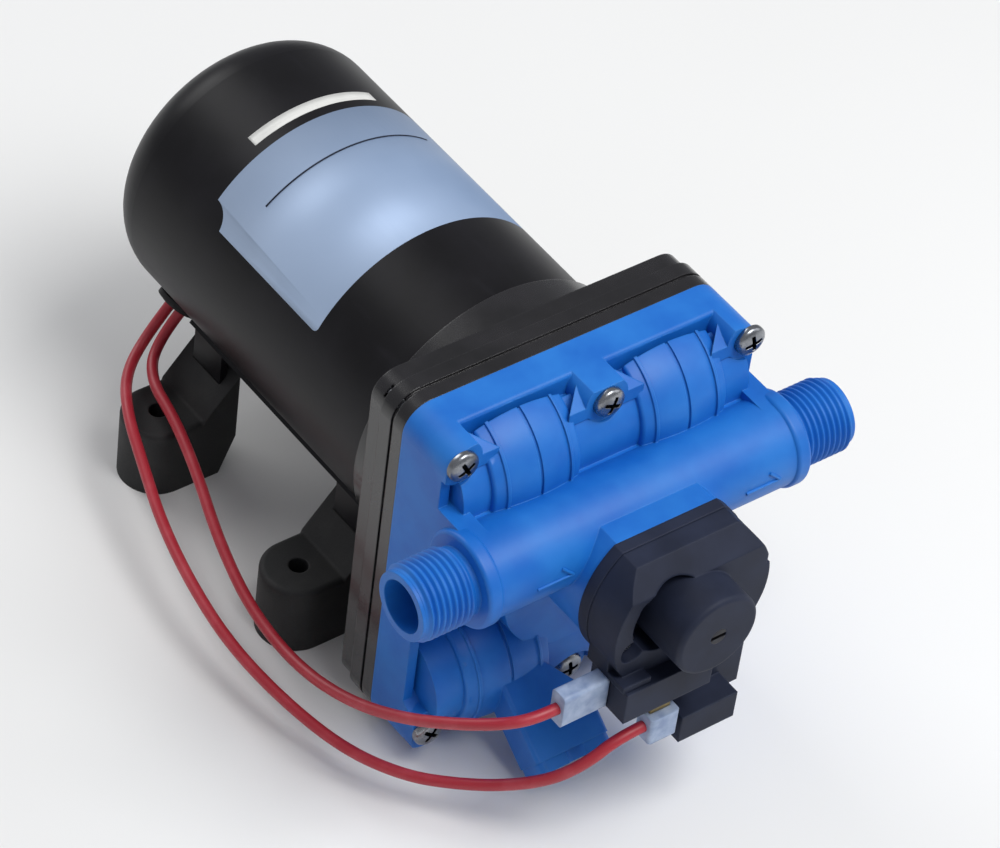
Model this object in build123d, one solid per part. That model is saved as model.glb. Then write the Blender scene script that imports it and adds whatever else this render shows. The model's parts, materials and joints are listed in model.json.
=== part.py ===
from build123d import *
import math
import os

# A 12 V diaphragm water pump with five chambers, a pressure switch and a bypass.
# Nearly every piece is drawn in the pump's own frame: x runs along the ports, y is up from
# the motor axis and z is forward from the face where the two housings meet. At the end the
# pieces are laid down so that the pump stands on its feet, with the motor towards +Y.
# All lengths are in millimetres.

# Whole pump
axis_height = 70.0
foot_hole_gap_x = 90.0
foot_hole_gap_y = 68.0
front_holes_behind_joint = 41.0
overrun = 1.0
press_gap = 0.02
running_gap = 0.05

# Head outline, shared by both housings
head_side_margin = 5.37
head_top_margin = 3.5
head_below_axis = 66.0
head_corner = 8.0

# Head screws, three above and three below
screws_from_side = 4.2
screws_from_top = 4.6
screws_from_bottom = 10.5
screw_seat_depth = 18.5
head_screw_radius = 2.4
head_screw_head_radius = 4.4
head_screw_head_height = 2.8
head_screw_grip_in_drive = 11.0
screw_hole_gap = 0.15

# Upper housing: rim, walls and the shell over the valves
rim_depth = 10.0
side_wall = 3.0
side_wall_depth = 13.0
upper_wall_depth = 17.0
housing_wall = 2.7
edge_round = 1.2

# Five chambers round the motor axis
chamber_count = 5
first_chamber_angle = 54.0
chambers_from_axis = 28.0
chamber_radius = 11.5
lobe_wall = 3.0
lobe_valley = 2.7
pocket_depth = 14.0
plate_gap = 0.2

# Bulging barrels beside the middle screws
barrel_radius = 19.3
barrel_forward = 6.0
barrel_below_screws = 15.0
barrel_inner_x = 9.8
barrel_from_side_screws = 8.4
barrel_crown = 2.0
barrel_end_round = 1.0
barrel_rib = 0.6
barrel_rib_width = 0.9
barrel_rib_inset = 3.2
barrel_saddle_drop = 3.4
barrel_line_width = 0.9
barrel_line_depth = 0.6
rim_groove_width = 1.8
rim_groove_depth = 6.2

# Screw bosses and the tents that run from the rim to them
boss_radius = 6.6
tent_back_half = 3.1
tent_front_half = 11.8
tent_thickness = 4.0
tent_root_depth = 11.0

# Ports
port_forward = 30.4
port_above_axis = 13.7
tube_radius = 12.5
port_beyond_head = 19.2
port_thread_length = 17.4
thread_root_radius = 9.32
collar_radius = 13.3
collar_length = 4.6
port_bore_radius = 7.25
inlet_bore_stop = 16.0
outlet_bore_stop = 2.0
port_web_width = 6.2
passage_radius = 4.5
inlet_passage_x = 24.0
outlet_passage_x = 5.0
outlet_passage_above = 8.0
outlet_passage_radius = 2.25

# Round hub that carries the pressure switch, and the bulge below it
hub_radius = 23.8
hub_above_axis = 4.0
hub_flat_above = 22.3
hub_front = 46.5
bulge_radius = 26.0
bulge_below_axis = 16.0
bulge_front = 21.0
sense_radius = 1.8
sense_below_hub = 5.0

# Bypass block, cap, poppet and spring, all along a line that slants forward and down
bypass_slope = 36.0
bypass_x = 15.1
bypass_end_above_bottom = 9.5
bypass_end_forward = 43.0
bypass_length = 31.5
bypass_width = 23.2
bypass_neck_width = 8.0
bypass_thickness = 11.0
bypass_bore_radius = 4.4
bypass_bore_length = 22.0
bypass_seat_radius = 2.6
bypass_seat_length = 15.5
poppet_length = 8.0
poppet_hollow_radius = 3.0
poppet_hollow_depth = 5.0
bypass_spring_outer = 2.9
bypass_spring_wire = 0.9
bypass_travel = 2.0
bypass_cap_thickness = 3.2
bypass_screw_gap = 15.2
bypass_screw_radius = 1.5
bypass_screw_head_radius = 2.7
bypass_screw_head_height = 1.8
bypass_screw_length = 10.0
bypass_notch_radius = 3.2
bypass_cap_corner = 2.4
notch_share = 0.45
block_flare_share = 0.5
block_full_share = 0.75

# Valve plate, its valves and seal
plate_thickness = 9.4
chamber_depth = 6.6
ring_wall_from_chambers = 7.0
ring_wall = 2.0
seal_height = 1.2
inlet_hole_radius = 1.6
inlet_holes_from_stem = 4.6
inlet_holes = 3
valve_stem_radius = 1.3
inlet_valve_radius = 7.2
inlet_valve_thickness = 1.0
inlet_valve_bulb = 1.9
outlet_holes_from_wall = 3.2
outlet_valve_from_wall = 1.6
outlet_valve_thickness = 1.2
outlet_hub_radius = 6.0
outlet_arm_width = 7.0

# Diaphragm and pistons
diaphragm_thickness = 1.4
diaphragm_grip = 2.2
piston_radius = 9.6
piston_front = 2.7
piston_edge = 2.0
piston_neck_radius = 6.0
piston_window_gap = 1.3
piston_screw_radius = 1.8
piston_screw_head_radius = 3.2
piston_screw_head_height = 1.6
piston_screw_length = 10.0

# Wobble plate, its bearing and the slanted cam
wobble_tilt = 4.0
wobble_centre_depth = 8.5
wobble_bearing_bore = 12.0
wobble_bearing_outside = 28.0
wobble_bearing_width = 8.0
wobble_balls = 8
ring_wall_share = 0.3
ball_share = 0.6
wobble_hub_radius = 17.5
wobble_hub_front = 3.6
wobble_hub_back = 12.7
arm_front_depth = 4.0
arm_back_depth = 8.2
arm_width = 12.0
pad_radius = 7.5
pad_front_depth = 1.2
cam_flange_radius = 8.6
cam_flange_thickness = 1.4
cam_nose = 0.2

# Drive housing
drive_depth = 15.0
drive_cavity_depth = 17.0
drive_back_wall = 3.0
drive_face_wall = 4.0
drive_skin = 2.8
cavity_wall = 2.6
cavity_lobe_radius = 12.5
collar_wall = 1.8
collar_reach = 6.0
groove_from_joint = 4.0
groove_width = 1.0
groove_depth = 0.8
drive_step_from_joint = 9.5
drive_step = 1.1
drive_tower_radius = 5.2
drive_rib = 2.0
drive_rib_above_screws = 10.4
shaft_window_radius = 10.5

# Motor
motor_radius = 40.2
motor_wall = 2.0
motor_end = 148.0
motor_end_round = 14.0
motor_end_wall = 2.4
can_gap = 0.1
front_plate_thickness = 5.0
front_plate_boss_radius = 15.0
front_plate_boss_length = 5.0
motor_screw_radius = 2.4
motor_screw_head_radius = 4.2
motor_screw_head_height = 2.4
motor_screws_from_cavity_wall = 0.8
motor_screws_count = 4
motor_screw_angle = 18.0
shaft_radius = 4.0
shaft_front_depth = 3.4
front_bearing_outside = 22.0
front_bearing_width = 7.0
front_bearing_balls = 7
rear_boss_radius = 11.0
rear_boss_length = 9.0
rear_bush_radius = 8.0
rear_bush_length = 8.0
magnet_thickness = 7.0
magnet_angle = 128.0
magnet_start = 44.0
magnet_length = 64.0
air_gap = 0.7
core_start = 50.0
core_length = 52.0
slot_count = 12
slot_width = 3.0
slot_depth = 11.0
winding_gap = 0.1
winding_overhang = 8.0
winding_band = 9.0
commutator_radius = 11.0
commutator_start = 112.0
commutator_length = 16.0
brush_holder_gap = 0.6
brush_holder_start = 115.0
brush_holder_thickness = 3.0
brush_holder_hole = 14.0
brush_width = 7.0
brush_height = 9.0
brush_box_from_rim = 5.4
brush_box_wall = 1.2
brush_spring_radius = 2.6
brush_share = 0.7

# Base: steel saddle and four rubber feet
saddle_thickness = 2.0
saddle_half_angle = 45.0
saddle_front = 27.0
saddle_back = 118.5
strap_width = 13.0
strap_below_foot_top = 4.0
strap_from_bore = 1.25
foot_width = 21.0
foot_height = 22.0
foot_bore_radius = 2.75
foot_edge_round = 1.6
foot_skin = 1.9
foot_below_saddle = 2.1
foot_slope_width = 11.0
foot_under_height = 12.0
foot_under_width = 5.0
strap_slot_gap = 0.1

# Pressure switch
switch_radius = 24.5
switch_flat_above = 22.5
switch_base_thickness = 3.5
switch_cover_front = 61.5
switch_cover_inset = 0.2
switch_chamfer = 6.0
switch_barrel_radius = 12.5
switch_barrel_front = 72.0
switch_barrel_round = 1.4
switch_skirt_left = 2.0
switch_skirt_right = 24.0
switch_skirt_below = 38.0
switch_skirt_front = 58.0
switch_block_left = -1.0
switch_block_right = 17.0
switch_block_top = 31.5
switch_block_below = 40.5
switch_block_front = 66.0
ledge_left = 22.3
ledge_right = 13.7
ledge_below = 9.5
ledge_thickness = 2.0
ledge_front = 65.0
moat_depth = 8.5
moat_outer_radius = 19.6
moat_from_angle = 96.0
moat_to_angle = 226.0
switch_screw_radius = 1.6
switch_screw_head_radius = 3.0
switch_screw_head_height = 2.0
switch_screw_length = 15.0
switch_screw_well_radius = 3.6
moat_screw_angle = 152.0
moat_screw_from_middle = 16.3
edge_screw_angles = (196.0, 304.0)
edge_screws_from_middle = 19.0
edge_screw_depth = 4.5
switch_notch_width = 5.0
switch_notch_depth = 1.6
switch_notch_above = 5.0

# Works of the switch
switch_diaphragm_radius = 11.0
switch_diaphragm_thickness = 1.2
plunger_stem_radius = 3.5
plunger_plate_radius = 8.6
plunger_plate_thickness = 1.5
plunger_plate_lift = 1.0
plunger_boss_radius = 2.6
plunger_boss_length = 4.0
plunger_arm_width = 5.0
plunger_travel = 1.0
plunger_stem_gap = 0.08
plunger_arm_gap = 0.2
plunger_front_gap = 0.2
spring_end_gap = 0.1
spring_outer_radius = 6.0
spring_wire = 1.3
adjuster_radius = 2.4
adjuster_seat_radius = 6.3
adjuster_seat_thickness = 1.6
adjuster_seat_forward = 3.2
adjuster_slot_width = 1.2
adjuster_slot_depth = 1.5
spring_chamber_radius = 6.6

# Microswitch, terminals and sleeves
micro_left = 21.5
micro_length = 27.8
micro_top_below = 11.7
micro_height = 10.3
micro_back = 51.3
micro_depth = 14.6
micro_gap = 0.1
button_x = 8.0
button_radius = 1.7
button_sunk = 1.6
blade_width = 6.3
blade_thickness = 0.8
blade_length = 7.5
side_blade_forward = 56.5
lower_blade_x = 7.2
lower_blade_forward = 63.2
blade_root = 3.0
sleeve_gap = 0.4
sleeve_length = 14.0
sleeve_height = 10.4
sleeve_depth = 5.2
sleeve_wall = 1.0
sleeve_round = 1.0
crimp_depth = 2.8
crimp_length = 9.5
flag_length = 9.0
flag_height = 8.6
flag_depth = 6.4
flag_below = 26.6

# Leads
lead_diameter = 3.2
grommet_angle = 228.0
grommet_from_joint = 127.0
grommet_radius = 5.0
grommet_flange_radius = 6.6
grommet_flange_thickness = 1.6
grommet_lip = 0.6
grommet_inside = 3.0
lead_gap = 4.4
grommet_stub = 12.0
side_sleeve_stub = 7.0
flag_sleeve_stub = 7.8
bend_share = 0.45

joint_y = -(front_holes_behind_joint + foot_hole_gap_y / 2)
laid_down = Location(Plane(origin=(0, joint_y, axis_height), x_dir=(1, 0, 0), z_dir=(0, -1, 0)))
lobe_radius = chamber_radius + lobe_wall


def polar(radius, angle):
    """The x and y of a place round the motor axis."""
    return radius * math.cos(math.radians(angle)), radius * math.sin(math.radians(angle))


def around(count, first_angle):
    """Evenly spaced angles round the motor axis."""
    return [first_angle + 360 / count * step for step in range(count)]


# The head goes round its chambers and round the collar that holds the motor
chamber_angles = around(chamber_count, first_chamber_angle)
chamber_places = [polar(chambers_from_axis, angle) for angle in chamber_angles]
collar_outside = motor_radius + can_gap + collar_wall
lobes_beside_axis = max(x for x, y in chamber_places) + lobe_radius + housing_wall
lobes_above_axis = max(y for x, y in chamber_places) + lobe_radius + housing_wall
head_width = 2 * (max(lobes_beside_axis, collar_outside) + head_side_margin)
head_above_axis = max(lobes_above_axis, collar_outside) + head_top_margin
head_middle_y = (head_above_axis - head_below_axis) / 2
screw_column = head_width / 2 - screws_from_side
upper_screw_row = head_above_axis - screws_from_top
lower_screw_row = head_below_axis - screws_from_bottom
barrel_above_axis = upper_screw_row - barrel_below_screws
barrel_outer_x = screw_column - barrel_from_side_screws
port_tip = head_width / 2 + port_beyond_head

# The wall round the outlet valve and the motor's screws keep their distance from the chambers
ring_wall_radius = chambers_from_axis - ring_wall_from_chambers
outlet_holes_from_axis = ring_wall_radius - outlet_holes_from_wall
outlet_valve_radius = ring_wall_radius - outlet_valve_from_wall
motor_screws_from_axis = (
    chambers_from_axis - motor_screw_head_radius - motor_screws_from_cavity_wall
)

# The brushes and their springs share the room between the commutator and the can
brush_holder_radius = motor_radius - motor_wall - brush_holder_gap
brush_box_end = brush_holder_radius - brush_box_from_rim
brush_room = brush_box_end - brush_box_wall - commutator_radius
brush_length = brush_room * brush_share
brush_spring_length = brush_room - brush_length

# The feet take the saddle's straps
saddle_outside = motor_radius + can_gap + saddle_thickness
strap_outer_x, strap_top = polar(saddle_outside, saddle_half_angle - 90)
strap_inner_x = strap_outer_x - saddle_thickness
strap_below = axis_height - foot_height + strap_below_foot_top
strap_reach = foot_hole_gap_x / 2 - foot_bore_radius - strap_from_bore
foot_inner_x = strap_inner_x - foot_skin
foot_inner_below = math.sqrt(saddle_outside ** 2 - foot_inner_x ** 2) + foot_below_saddle
wobble_tilted = (
    Pos(0, 0, -wobble_centre_depth) * Rot(wobble_tilt, 0, 0) * Pos(0, 0, wobble_centre_depth)
)


def disc(radius, start, end, x=0, y=0):
    """A round bar along the motor axis, from start forward to end."""
    bar = Cylinder(radius, end - start, align=(Align.CENTER, Align.CENTER, Align.MIN))
    return Pos(x, y, start) * bar


def ring(outer, inner, start, end, x=0, y=0):
    """A tube along the motor axis."""
    return disc(outer, start, end, x, y) - disc(inner, start - overrun, end + overrun, x, y)


def rod_x(radius, start, end, y, z):
    """A round bar along the ports, from start to end."""
    bar = Cylinder(radius, end - start, align=(Align.CENTER, Align.CENTER, Align.MIN))
    return Pos(start, y, z) * Rot(0, 90, 0) * bar


def block(x0, x1, y0, y1, z0, z1):
    """A box between two corners."""
    sides = Box(x1 - x0, y1 - y0, z1 - z0, align=(Align.MIN, Align.MIN, Align.MIN))
    return Pos(x0, y0, z0) * sides


def slab(sketch, start, end):
    """A flat outline made solid from start forward to end."""
    return Pos(0, 0, start) * extrude(sketch, amount=end - start)


def side_profile(points, x0, x1):
    """An outline of (forward, up) points made solid between two places along the ports."""
    corners = [Vector(x0, up, forward) for forward, up in points]
    face = make_face(Polyline(*corners, close=True))
    return extrude(face, amount=x1 - x0, dir=(1, 0, 0))


def lobed(lobe, middle):
    """A flower outline: a lobe round each chamber, and a circle in the middle."""
    outline = Circle(middle)
    for x, y in chamber_places:
        outline += Pos(x, y) * Circle(lobe)
    return outline


def pocket_outline(grow=0):
    """The outline of the space that holds the valve plate, or one that is larger all round."""
    return lobed(lobe_radius + grow, chambers_from_axis - lobe_valley + grow)


def diaphragm_outline(grow=0):
    """The outline of the diaphragm, or one that is larger all round."""
    grip = diaphragm_grip + grow
    return lobed(lobe_radius + grip, chambers_from_axis + grip)


def cavity_outline(grow=0):
    """The outline of the wobble space, or one that is larger all round."""
    return lobed(cavity_lobe_radius + grow, chambers_from_axis + grow)


def head_outline(inset=0):
    """The rounded rectangle of the head, as seen from the front."""
    width = head_width - 2 * inset
    height = head_above_axis + head_below_axis - 2 * inset
    return Pos(0, head_middle_y) * RectangleRounded(width, height, head_corner - inset)


def head_screw_places():
    """The six head screws: three along the top and three along the bottom."""
    columns = (-screw_column, 0, screw_column)
    return [(x, y) for y in (upper_screw_row, -lower_screw_row) for x in columns]


def crowned(radius):
    """A bar along the ports that is thickest halfway and falls off to both ends."""
    ends = radius - barrel_crown
    middle = (barrel_inner_x + barrel_outer_x) / 2
    corners = [(barrel_inner_x, ends), (barrel_inner_x, 0), (barrel_outer_x, 0),
               (barrel_outer_x, ends)]
    crown = ThreePointArc(corners[0], (middle, radius), corners[-1])
    return revolve(make_face(Polyline(*corners) + crown), Axis.X)


def barrel(centre_y):
    """One crowned barrel with a mould line at its middle and a low rib near each end."""
    bulge = crowned(barrel_radius)
    bulge = fillet(bulge.edges().filter_by(GeomType.CIRCLE), barrel_end_round)
    line_start = (barrel_inner_x + barrel_outer_x - barrel_line_width) / 2
    bulge -= (crowned(barrel_radius + overrun) - crowned(barrel_radius - barrel_line_depth)
              ) & rod_x(barrel_radius + overrun, line_start, line_start + barrel_line_width, 0, 0)
    for start in (barrel_inner_x + barrel_rib_inset,
                  barrel_outer_x - barrel_rib_inset - barrel_rib_width):
        rib = rod_x(barrel_radius + barrel_rib, start, start + barrel_rib_width, 0, 0)
        bulge += rib & crowned(barrel_radius + barrel_rib)
    return Pos(0, centre_y, barrel_forward) * bulge


def tent(x, row, edge):
    """The sloping gusset from the rim's edge forward to a screw boss."""
    sign = 1 if edge > 0 else -1
    side = side_profile([
        (rim_depth - rim_groove_width, edge),
        (rim_depth, edge),
        (screw_seat_depth, row),
        (screw_seat_depth, row - sign * tent_thickness),
        (rim_depth - rim_groove_width, row - sign * tent_root_depth),
    ], x - tent_front_half, x + tent_front_half)
    plan = make_face(Polyline(
        Vector(x - tent_back_half, 0, 0),
        Vector(x + tent_back_half, 0, 0),
        Vector(x + tent_back_half, 0, rim_depth),
        Vector(x + tent_front_half, 0, screw_seat_depth),
        Vector(x - tent_front_half, 0, screw_seat_depth),
        Vector(x - tent_back_half, 0, rim_depth),
        close=True))
    height = head_above_axis + head_below_axis
    return side & extrude(plan, amount=height, dir=(0, 1, 0), both=True)


def bypass_frame():
    """Where the bypass line starts: forward along it is the local z, out of its face is y."""
    forward, down = polar(bypass_length, bypass_slope)
    start = (-bypass_x, down + bypass_end_above_bottom - head_below_axis,
             bypass_end_forward - forward)
    return Location(Plane(origin=start, x_dir=(1, 0, 0), z_dir=(0, -down, forward)))


def bypass_block():
    """The slanted block: narrow where it leaves the housing and wide at its capped end."""
    half = bypass_width / 2
    corners = [
        Vector(-half, 0, 0),
        Vector(bypass_neck_width - half, 0, 0),
        Vector(half - bypass_cap_thickness, 0, bypass_length * block_flare_share),
        Vector(half, 0, bypass_length * block_full_share),
        Vector(half, 0, bypass_length),
        Vector(-half, 0, bypass_length),
    ]
    face = make_face(Polyline(*corners, close=True))
    solid = extrude(face, amount=bypass_thickness, dir=(0, -1, 0))
    solid = fillet(solid.edges().filter_by(Axis.Z), edge_round)
    root = block(-half, half - bypass_neck_width, -bypass_thickness, 0,
                 -bypass_bore_length + bypass_seat_length, overrun)
    return bypass_frame() * (solid + root)


def bypass_bar(radius, start, end, x=0):
    """A round bar along the bypass line."""
    return bypass_frame() * disc(radius, start, end, x, -bypass_thickness / 2)


def bypass_screw_places():
    """The two small screws of the bypass cap."""
    return (-bypass_screw_gap / 2, bypass_screw_gap / 2)


def port_tube():
    """The cross tube with a collar and a plain threaded neck at each end."""
    neck = port_tip - port_thread_length
    tube = rod_x(tube_radius, -neck, neck, port_above_axis, port_forward)
    tube += rod_x(thread_root_radius, -port_tip, port_tip, port_above_axis, port_forward)
    for side in (-1, 1):
        outer = side * neck
        inner = side * (neck - collar_length)
        collar = rod_x(collar_radius, min(outer, inner), max(outer, inner),
                       port_above_axis, port_forward)
        collar = fillet(collar.edges().filter_by(GeomType.CIRCLE), edge_round)
        tube += collar
    return tube


def upper_housing():
    """The blue front housing, moulded in one piece with both ports and the switch hub."""
    half = head_width / 2
    body = slab(head_outline(), 0, rim_depth)
    body = fillet(body.faces().sort_by(Axis.Z)[-1].edges(), edge_round)
    front = slab(pocket_outline(housing_wall), 0, pocket_depth + housing_wall)
    for mirrored_y in (barrel_above_axis, 2 * head_middle_y - barrel_above_axis):
        one = barrel(mirrored_y)
        front += one
        front += mirror(one, about=Plane.YZ)
        front += rod_x(barrel_radius - barrel_saddle_drop, -screw_column, screw_column,
                       mirrored_y, barrel_forward)
    groove_back = rim_depth
    groove_front = rim_depth + rim_groove_width
    for low, high in ((head_above_axis - rim_groove_depth, head_above_axis + overrun),
                      (-head_below_axis - overrun, -head_below_axis + rim_groove_depth)):
        front -= block(-half, half, low, high, groove_back, groove_front)
    front += disc(bulge_radius, 0, bulge_front, 0, -bulge_below_axis)
    for x, y in head_screw_places():
        edge = head_above_axis if y > 0 else -head_below_axis
        front -= disc(boss_radius, screw_seat_depth, hub_front, x, y)
        front += disc(boss_radius, 0, screw_seat_depth, x, y)
        front += tent(x, y, edge)
    for side in (-1, 1):
        outer = side * half
        inner = side * (half - side_wall)
        x0, x1 = min(outer, inner), max(outer, inner)
        web_inner = side * (half - port_web_width)
        w0, w1 = min(outer, web_inner), max(outer, web_inner)
        front += block(x0, x1, head_corner - head_below_axis, upper_screw_row, 0, side_wall_depth)
        front += block(x0, x1, port_above_axis, upper_screw_row, 0, upper_wall_depth)
        front += block(w0, w1, port_above_axis - tube_radius, port_above_axis + tube_radius,
                       0, port_forward)
    front = front & slab(head_outline(), 0, hub_front)
    body += front
    body += block(-half + port_web_width, half - port_web_width,
                  port_above_axis - tube_radius + housing_wall,
                  port_above_axis + tube_radius - housing_wall, rim_depth, port_forward)
    hub = disc(hub_radius, 0, hub_front, 0, hub_above_axis)
    hub -= block(-hub_radius, hub_radius, hub_flat_above, hub_flat_above + hub_radius,
                 -overrun, hub_front + overrun)
    body += hub
    body += port_tube()
    body += bypass_block()
    # hollow side: the valve pocket, the passages and the bores
    hollow = slab(pocket_outline(), -overrun, pocket_depth)
    wall_ring = ring(ring_wall_radius + ring_wall / 2, ring_wall_radius - ring_wall / 2,
                     plate_thickness + seal_height, pocket_depth)
    hollow -= wall_ring
    hollow += bypass_channel()
    for side, stop in ((-1, -inlet_bore_stop), (1, outlet_bore_stop)):
        tip = side * (port_tip + overrun)
        hollow += rod_x(port_bore_radius, min(tip, stop), max(tip, stop),
                        port_above_axis, port_forward)
    hollow += disc(passage_radius, 0, port_forward, -inlet_passage_x, port_above_axis)
    hollow += disc(outlet_passage_radius, 0, port_forward, outlet_passage_x, outlet_passage_above)
    hollow += disc(sense_radius, 0, hub_front + overrun, 0, hub_above_axis - sense_below_hub)
    hollow += disc(switch_diaphragm_radius + press_gap, hub_front - switch_diaphragm_thickness,
                   hub_front + overrun, 0, hub_above_axis)
    end = bypass_length
    hollow += bypass_bar(bypass_bore_radius, end - bypass_bore_length, end + overrun)
    hollow += bypass_bar(bypass_seat_radius, end - bypass_bore_length - bypass_seat_length, end)
    for x in bypass_screw_places():
        hollow += bypass_bar(bypass_screw_radius + press_gap,
                             end + bypass_cap_thickness - bypass_screw_length, end + overrun, x)
    for x, y in head_screw_places():
        hollow += disc(head_screw_radius + screw_hole_gap, -overrun,
                       screw_seat_depth + overrun, x, y)
    for x, y, seat in switch_screw_places():
        hollow += disc(switch_screw_radius + press_gap, seat - switch_screw_length,
                       hub_front + overrun, x, y)
    return body - hollow


def bypass_channel():
    """The small pocket that lets the bypass line into the inlet side."""
    start = bypass_frame().position
    inward = passage_radius / 2
    return disc(passage_radius, plate_thickness + plate_gap, pocket_depth,
                start.X + inward, start.Y + inward)


def head_screws():
    """Six pan-head screws that clamp the two housings."""
    screws = []
    for x, y in head_screw_places():
        head = disc(head_screw_head_radius, screw_seat_depth,
                    screw_seat_depth + head_screw_head_height, x, y)
        head = fillet(head.edges().filter_by(GeomType.CIRCLE).sort_by(Axis.Z)[-1], edge_round)
        screws.append(head + disc(head_screw_radius, -head_screw_grip_in_drive,
                                  screw_seat_depth, x, y))
    return Compound(screws)


def seal_ring():
    """The rubber ring between the outlet wall and the valve plate."""
    outer = ring_wall_radius + ring_wall / 2
    inner = ring_wall_radius - ring_wall / 2
    return ring(outer, inner, plate_thickness + press_gap,
                plate_thickness + seal_height - press_gap)


def valve_plate():
    """The moulded plate with five chambers at its back and valve seats at its front."""
    plate = slab(pocket_outline(-plate_gap), 0, plate_thickness)
    for angle in chamber_angles:
        x, y = polar(chambers_from_axis, angle)
        plate -= disc(chamber_radius, -overrun, chamber_depth, x, y)
        plate -= disc(valve_stem_radius + running_gap, 0, plate_thickness + overrun, x, y)
        for hole_angle in around(inlet_holes, angle):
            dx, dy = polar(inlet_holes_from_stem, hole_angle)
            plate -= disc(inlet_hole_radius, 0, plate_thickness + overrun, x + dx, y + dy)
        x, y = polar(outlet_holes_from_axis, angle)
        plate -= disc(inlet_hole_radius, 0, plate_thickness + overrun, x, y)
    plate -= disc(valve_stem_radius + running_gap, 0, plate_thickness + overrun)
    return plate


def inlet_valves():
    """Five rubber umbrella valves, one on the chamber side of each set of inlet holes."""
    valves = []
    for angle in chamber_angles:
        x, y = polar(chambers_from_axis, angle)
        roof = chamber_depth - press_gap
        umbrella = Cone(inlet_valve_radius - inlet_valve_thickness, inlet_valve_radius,
                        inlet_valve_thickness, align=(Align.CENTER, Align.CENTER, Align.MAX))
        bulb = disc(inlet_valve_bulb, plate_thickness + press_gap,
                    plate_thickness + valve_stem_radius, x, y)
        stem = disc(valve_stem_radius, roof - inlet_valve_thickness,
                    plate_thickness + valve_stem_radius, x, y)
        valves.append(Pos(x, y, roof) * umbrella + stem + bulb)
    return Compound(valves)


def outlet_valve():
    """One rubber star over all five outlet holes."""
    start = plate_thickness + press_gap
    star = Circle(outlet_hub_radius)
    for angle in chamber_angles:
        arm = Rot(0, 0, angle) * Pos(outlet_holes_from_axis / 2, 0) * Rectangle(
            outlet_holes_from_axis, outlet_arm_width)
        x, y = polar(outlet_holes_from_axis - outlet_arm_width / 2 + inlet_hole_radius, angle)
        star += arm & Circle(outlet_holes_from_axis)
        star += Pos(x, y) * Circle(outlet_arm_width / 2)
    star = star & Circle(outlet_valve_radius)
    valve = slab(star, start, start + outlet_valve_thickness)
    valve += disc(valve_stem_radius, chamber_depth, start + outlet_valve_thickness)
    return valve


def diaphragm():
    """The rubber sheet clamped between the housings, with a window round each piston."""
    sheet = slab(diaphragm_outline(), -diaphragm_thickness, 0)
    for angle in chamber_angles:
        x, y = polar(chambers_from_axis, angle)
        sheet -= disc(piston_radius + piston_window_gap, -diaphragm_thickness - overrun,
                      overrun, x, y)
    return sheet


def piston(angle):
    """One piston: a thin-edged disc on a cone that stands on the wobble plate's pad."""
    x, y = polar(chambers_from_axis, angle)
    base = -pad_front_depth
    under = piston_front - piston_edge
    cone = Cone(piston_neck_radius, piston_radius, under - base,
                align=(Align.CENTER, Align.CENTER, Align.MIN))
    body = Pos(x, y, base) * cone + disc(piston_radius, under, piston_front, x, y)
    body -= disc(piston_screw_radius + press_gap, base - overrun, piston_front + overrun, x, y)
    body -= disc(piston_screw_head_radius + press_gap, piston_front - piston_screw_head_height,
                 piston_front + overrun, x, y)
    return wobble_tilted * body


def piston_screws():
    """Five countersunk-seat screws that hold the pistons to the wobble plate."""
    screws = []
    for angle in chamber_angles:
        x, y = polar(chambers_from_axis, angle)
        under_head = piston_front - piston_screw_head_height
        head = disc(piston_screw_head_radius, under_head, piston_front, x, y)
        shank = disc(piston_screw_radius, under_head - piston_screw_length, under_head, x, y)
        screws.append(wobble_tilted * (head + shank))
    return Compound(screws)


def wobble_plate():
    """The five-armed plate that rocks without turning."""
    hub = disc(wobble_hub_radius, -wobble_hub_back, -wobble_hub_front)
    arms = Sketch()
    for angle in chamber_angles:
        x, y = polar(chambers_from_axis, angle)
        arms += Rot(0, 0, angle) * Pos(chambers_from_axis / 2, 0) * Rectangle(
            chambers_from_axis, arm_width)
        hub += disc(pad_radius, -arm_back_depth, -pad_front_depth, x, y)
    hub += slab(arms, -arm_back_depth, -arm_front_depth)
    shoulder = wobble_bearing_outside / 2
    back = -wobble_centre_depth - wobble_bearing_width / 2
    hub -= disc(shoulder + press_gap, back, back + wobble_bearing_width)
    hub -= disc(shoulder - edge_round, -wobble_hub_back - overrun, -wobble_hub_front + overrun)
    for angle in chamber_angles:
        x, y = polar(chambers_from_axis, angle)
        tip = piston_front - piston_screw_head_height - piston_screw_length
        hub -= disc(piston_screw_radius + press_gap, tip - press_gap, 0, x, y)
    return wobble_tilted * hub


def bearing(bore, outside, width, balls, middle):
    """A ball bearing as three pieces: inner ring, outer ring and balls."""
    section = (outside - bore) / 2
    pitch = (outside + bore) / 4
    ball_radius = section * ball_share / 2
    wall = section * ring_wall_share
    start, end = middle - width / 2, middle + width / 2
    groove = Pos(0, 0, middle) * Torus(pitch, ball_radius + running_gap)
    inner = ring(bore / 2 + wall, bore / 2, start, end) - groove
    outer = ring(outside / 2, outside / 2 - wall, start, end) - groove
    spheres = []
    for angle in around(balls, 0):
        x, y = polar(pitch, angle)
        spheres.append(Pos(x, y, middle) * Sphere(ball_radius))
    return inner, outer, Compound(spheres)


def cam():
    """The bush on the shaft whose seat slants, with its flange behind the bearing."""
    seat_radius = wobble_bearing_bore / 2 - press_gap
    back = -wobble_centre_depth - wobble_bearing_width / 2
    seat = disc(seat_radius, back - cam_nose, back + wobble_bearing_width + cam_nose)
    flange = disc(cam_flange_radius, back - press_gap - cam_flange_thickness, back - press_gap)
    body = wobble_tilted * (seat + flange)
    body -= disc(shaft_radius + press_gap, -drive_cavity_depth, 0)
    return body


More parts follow.
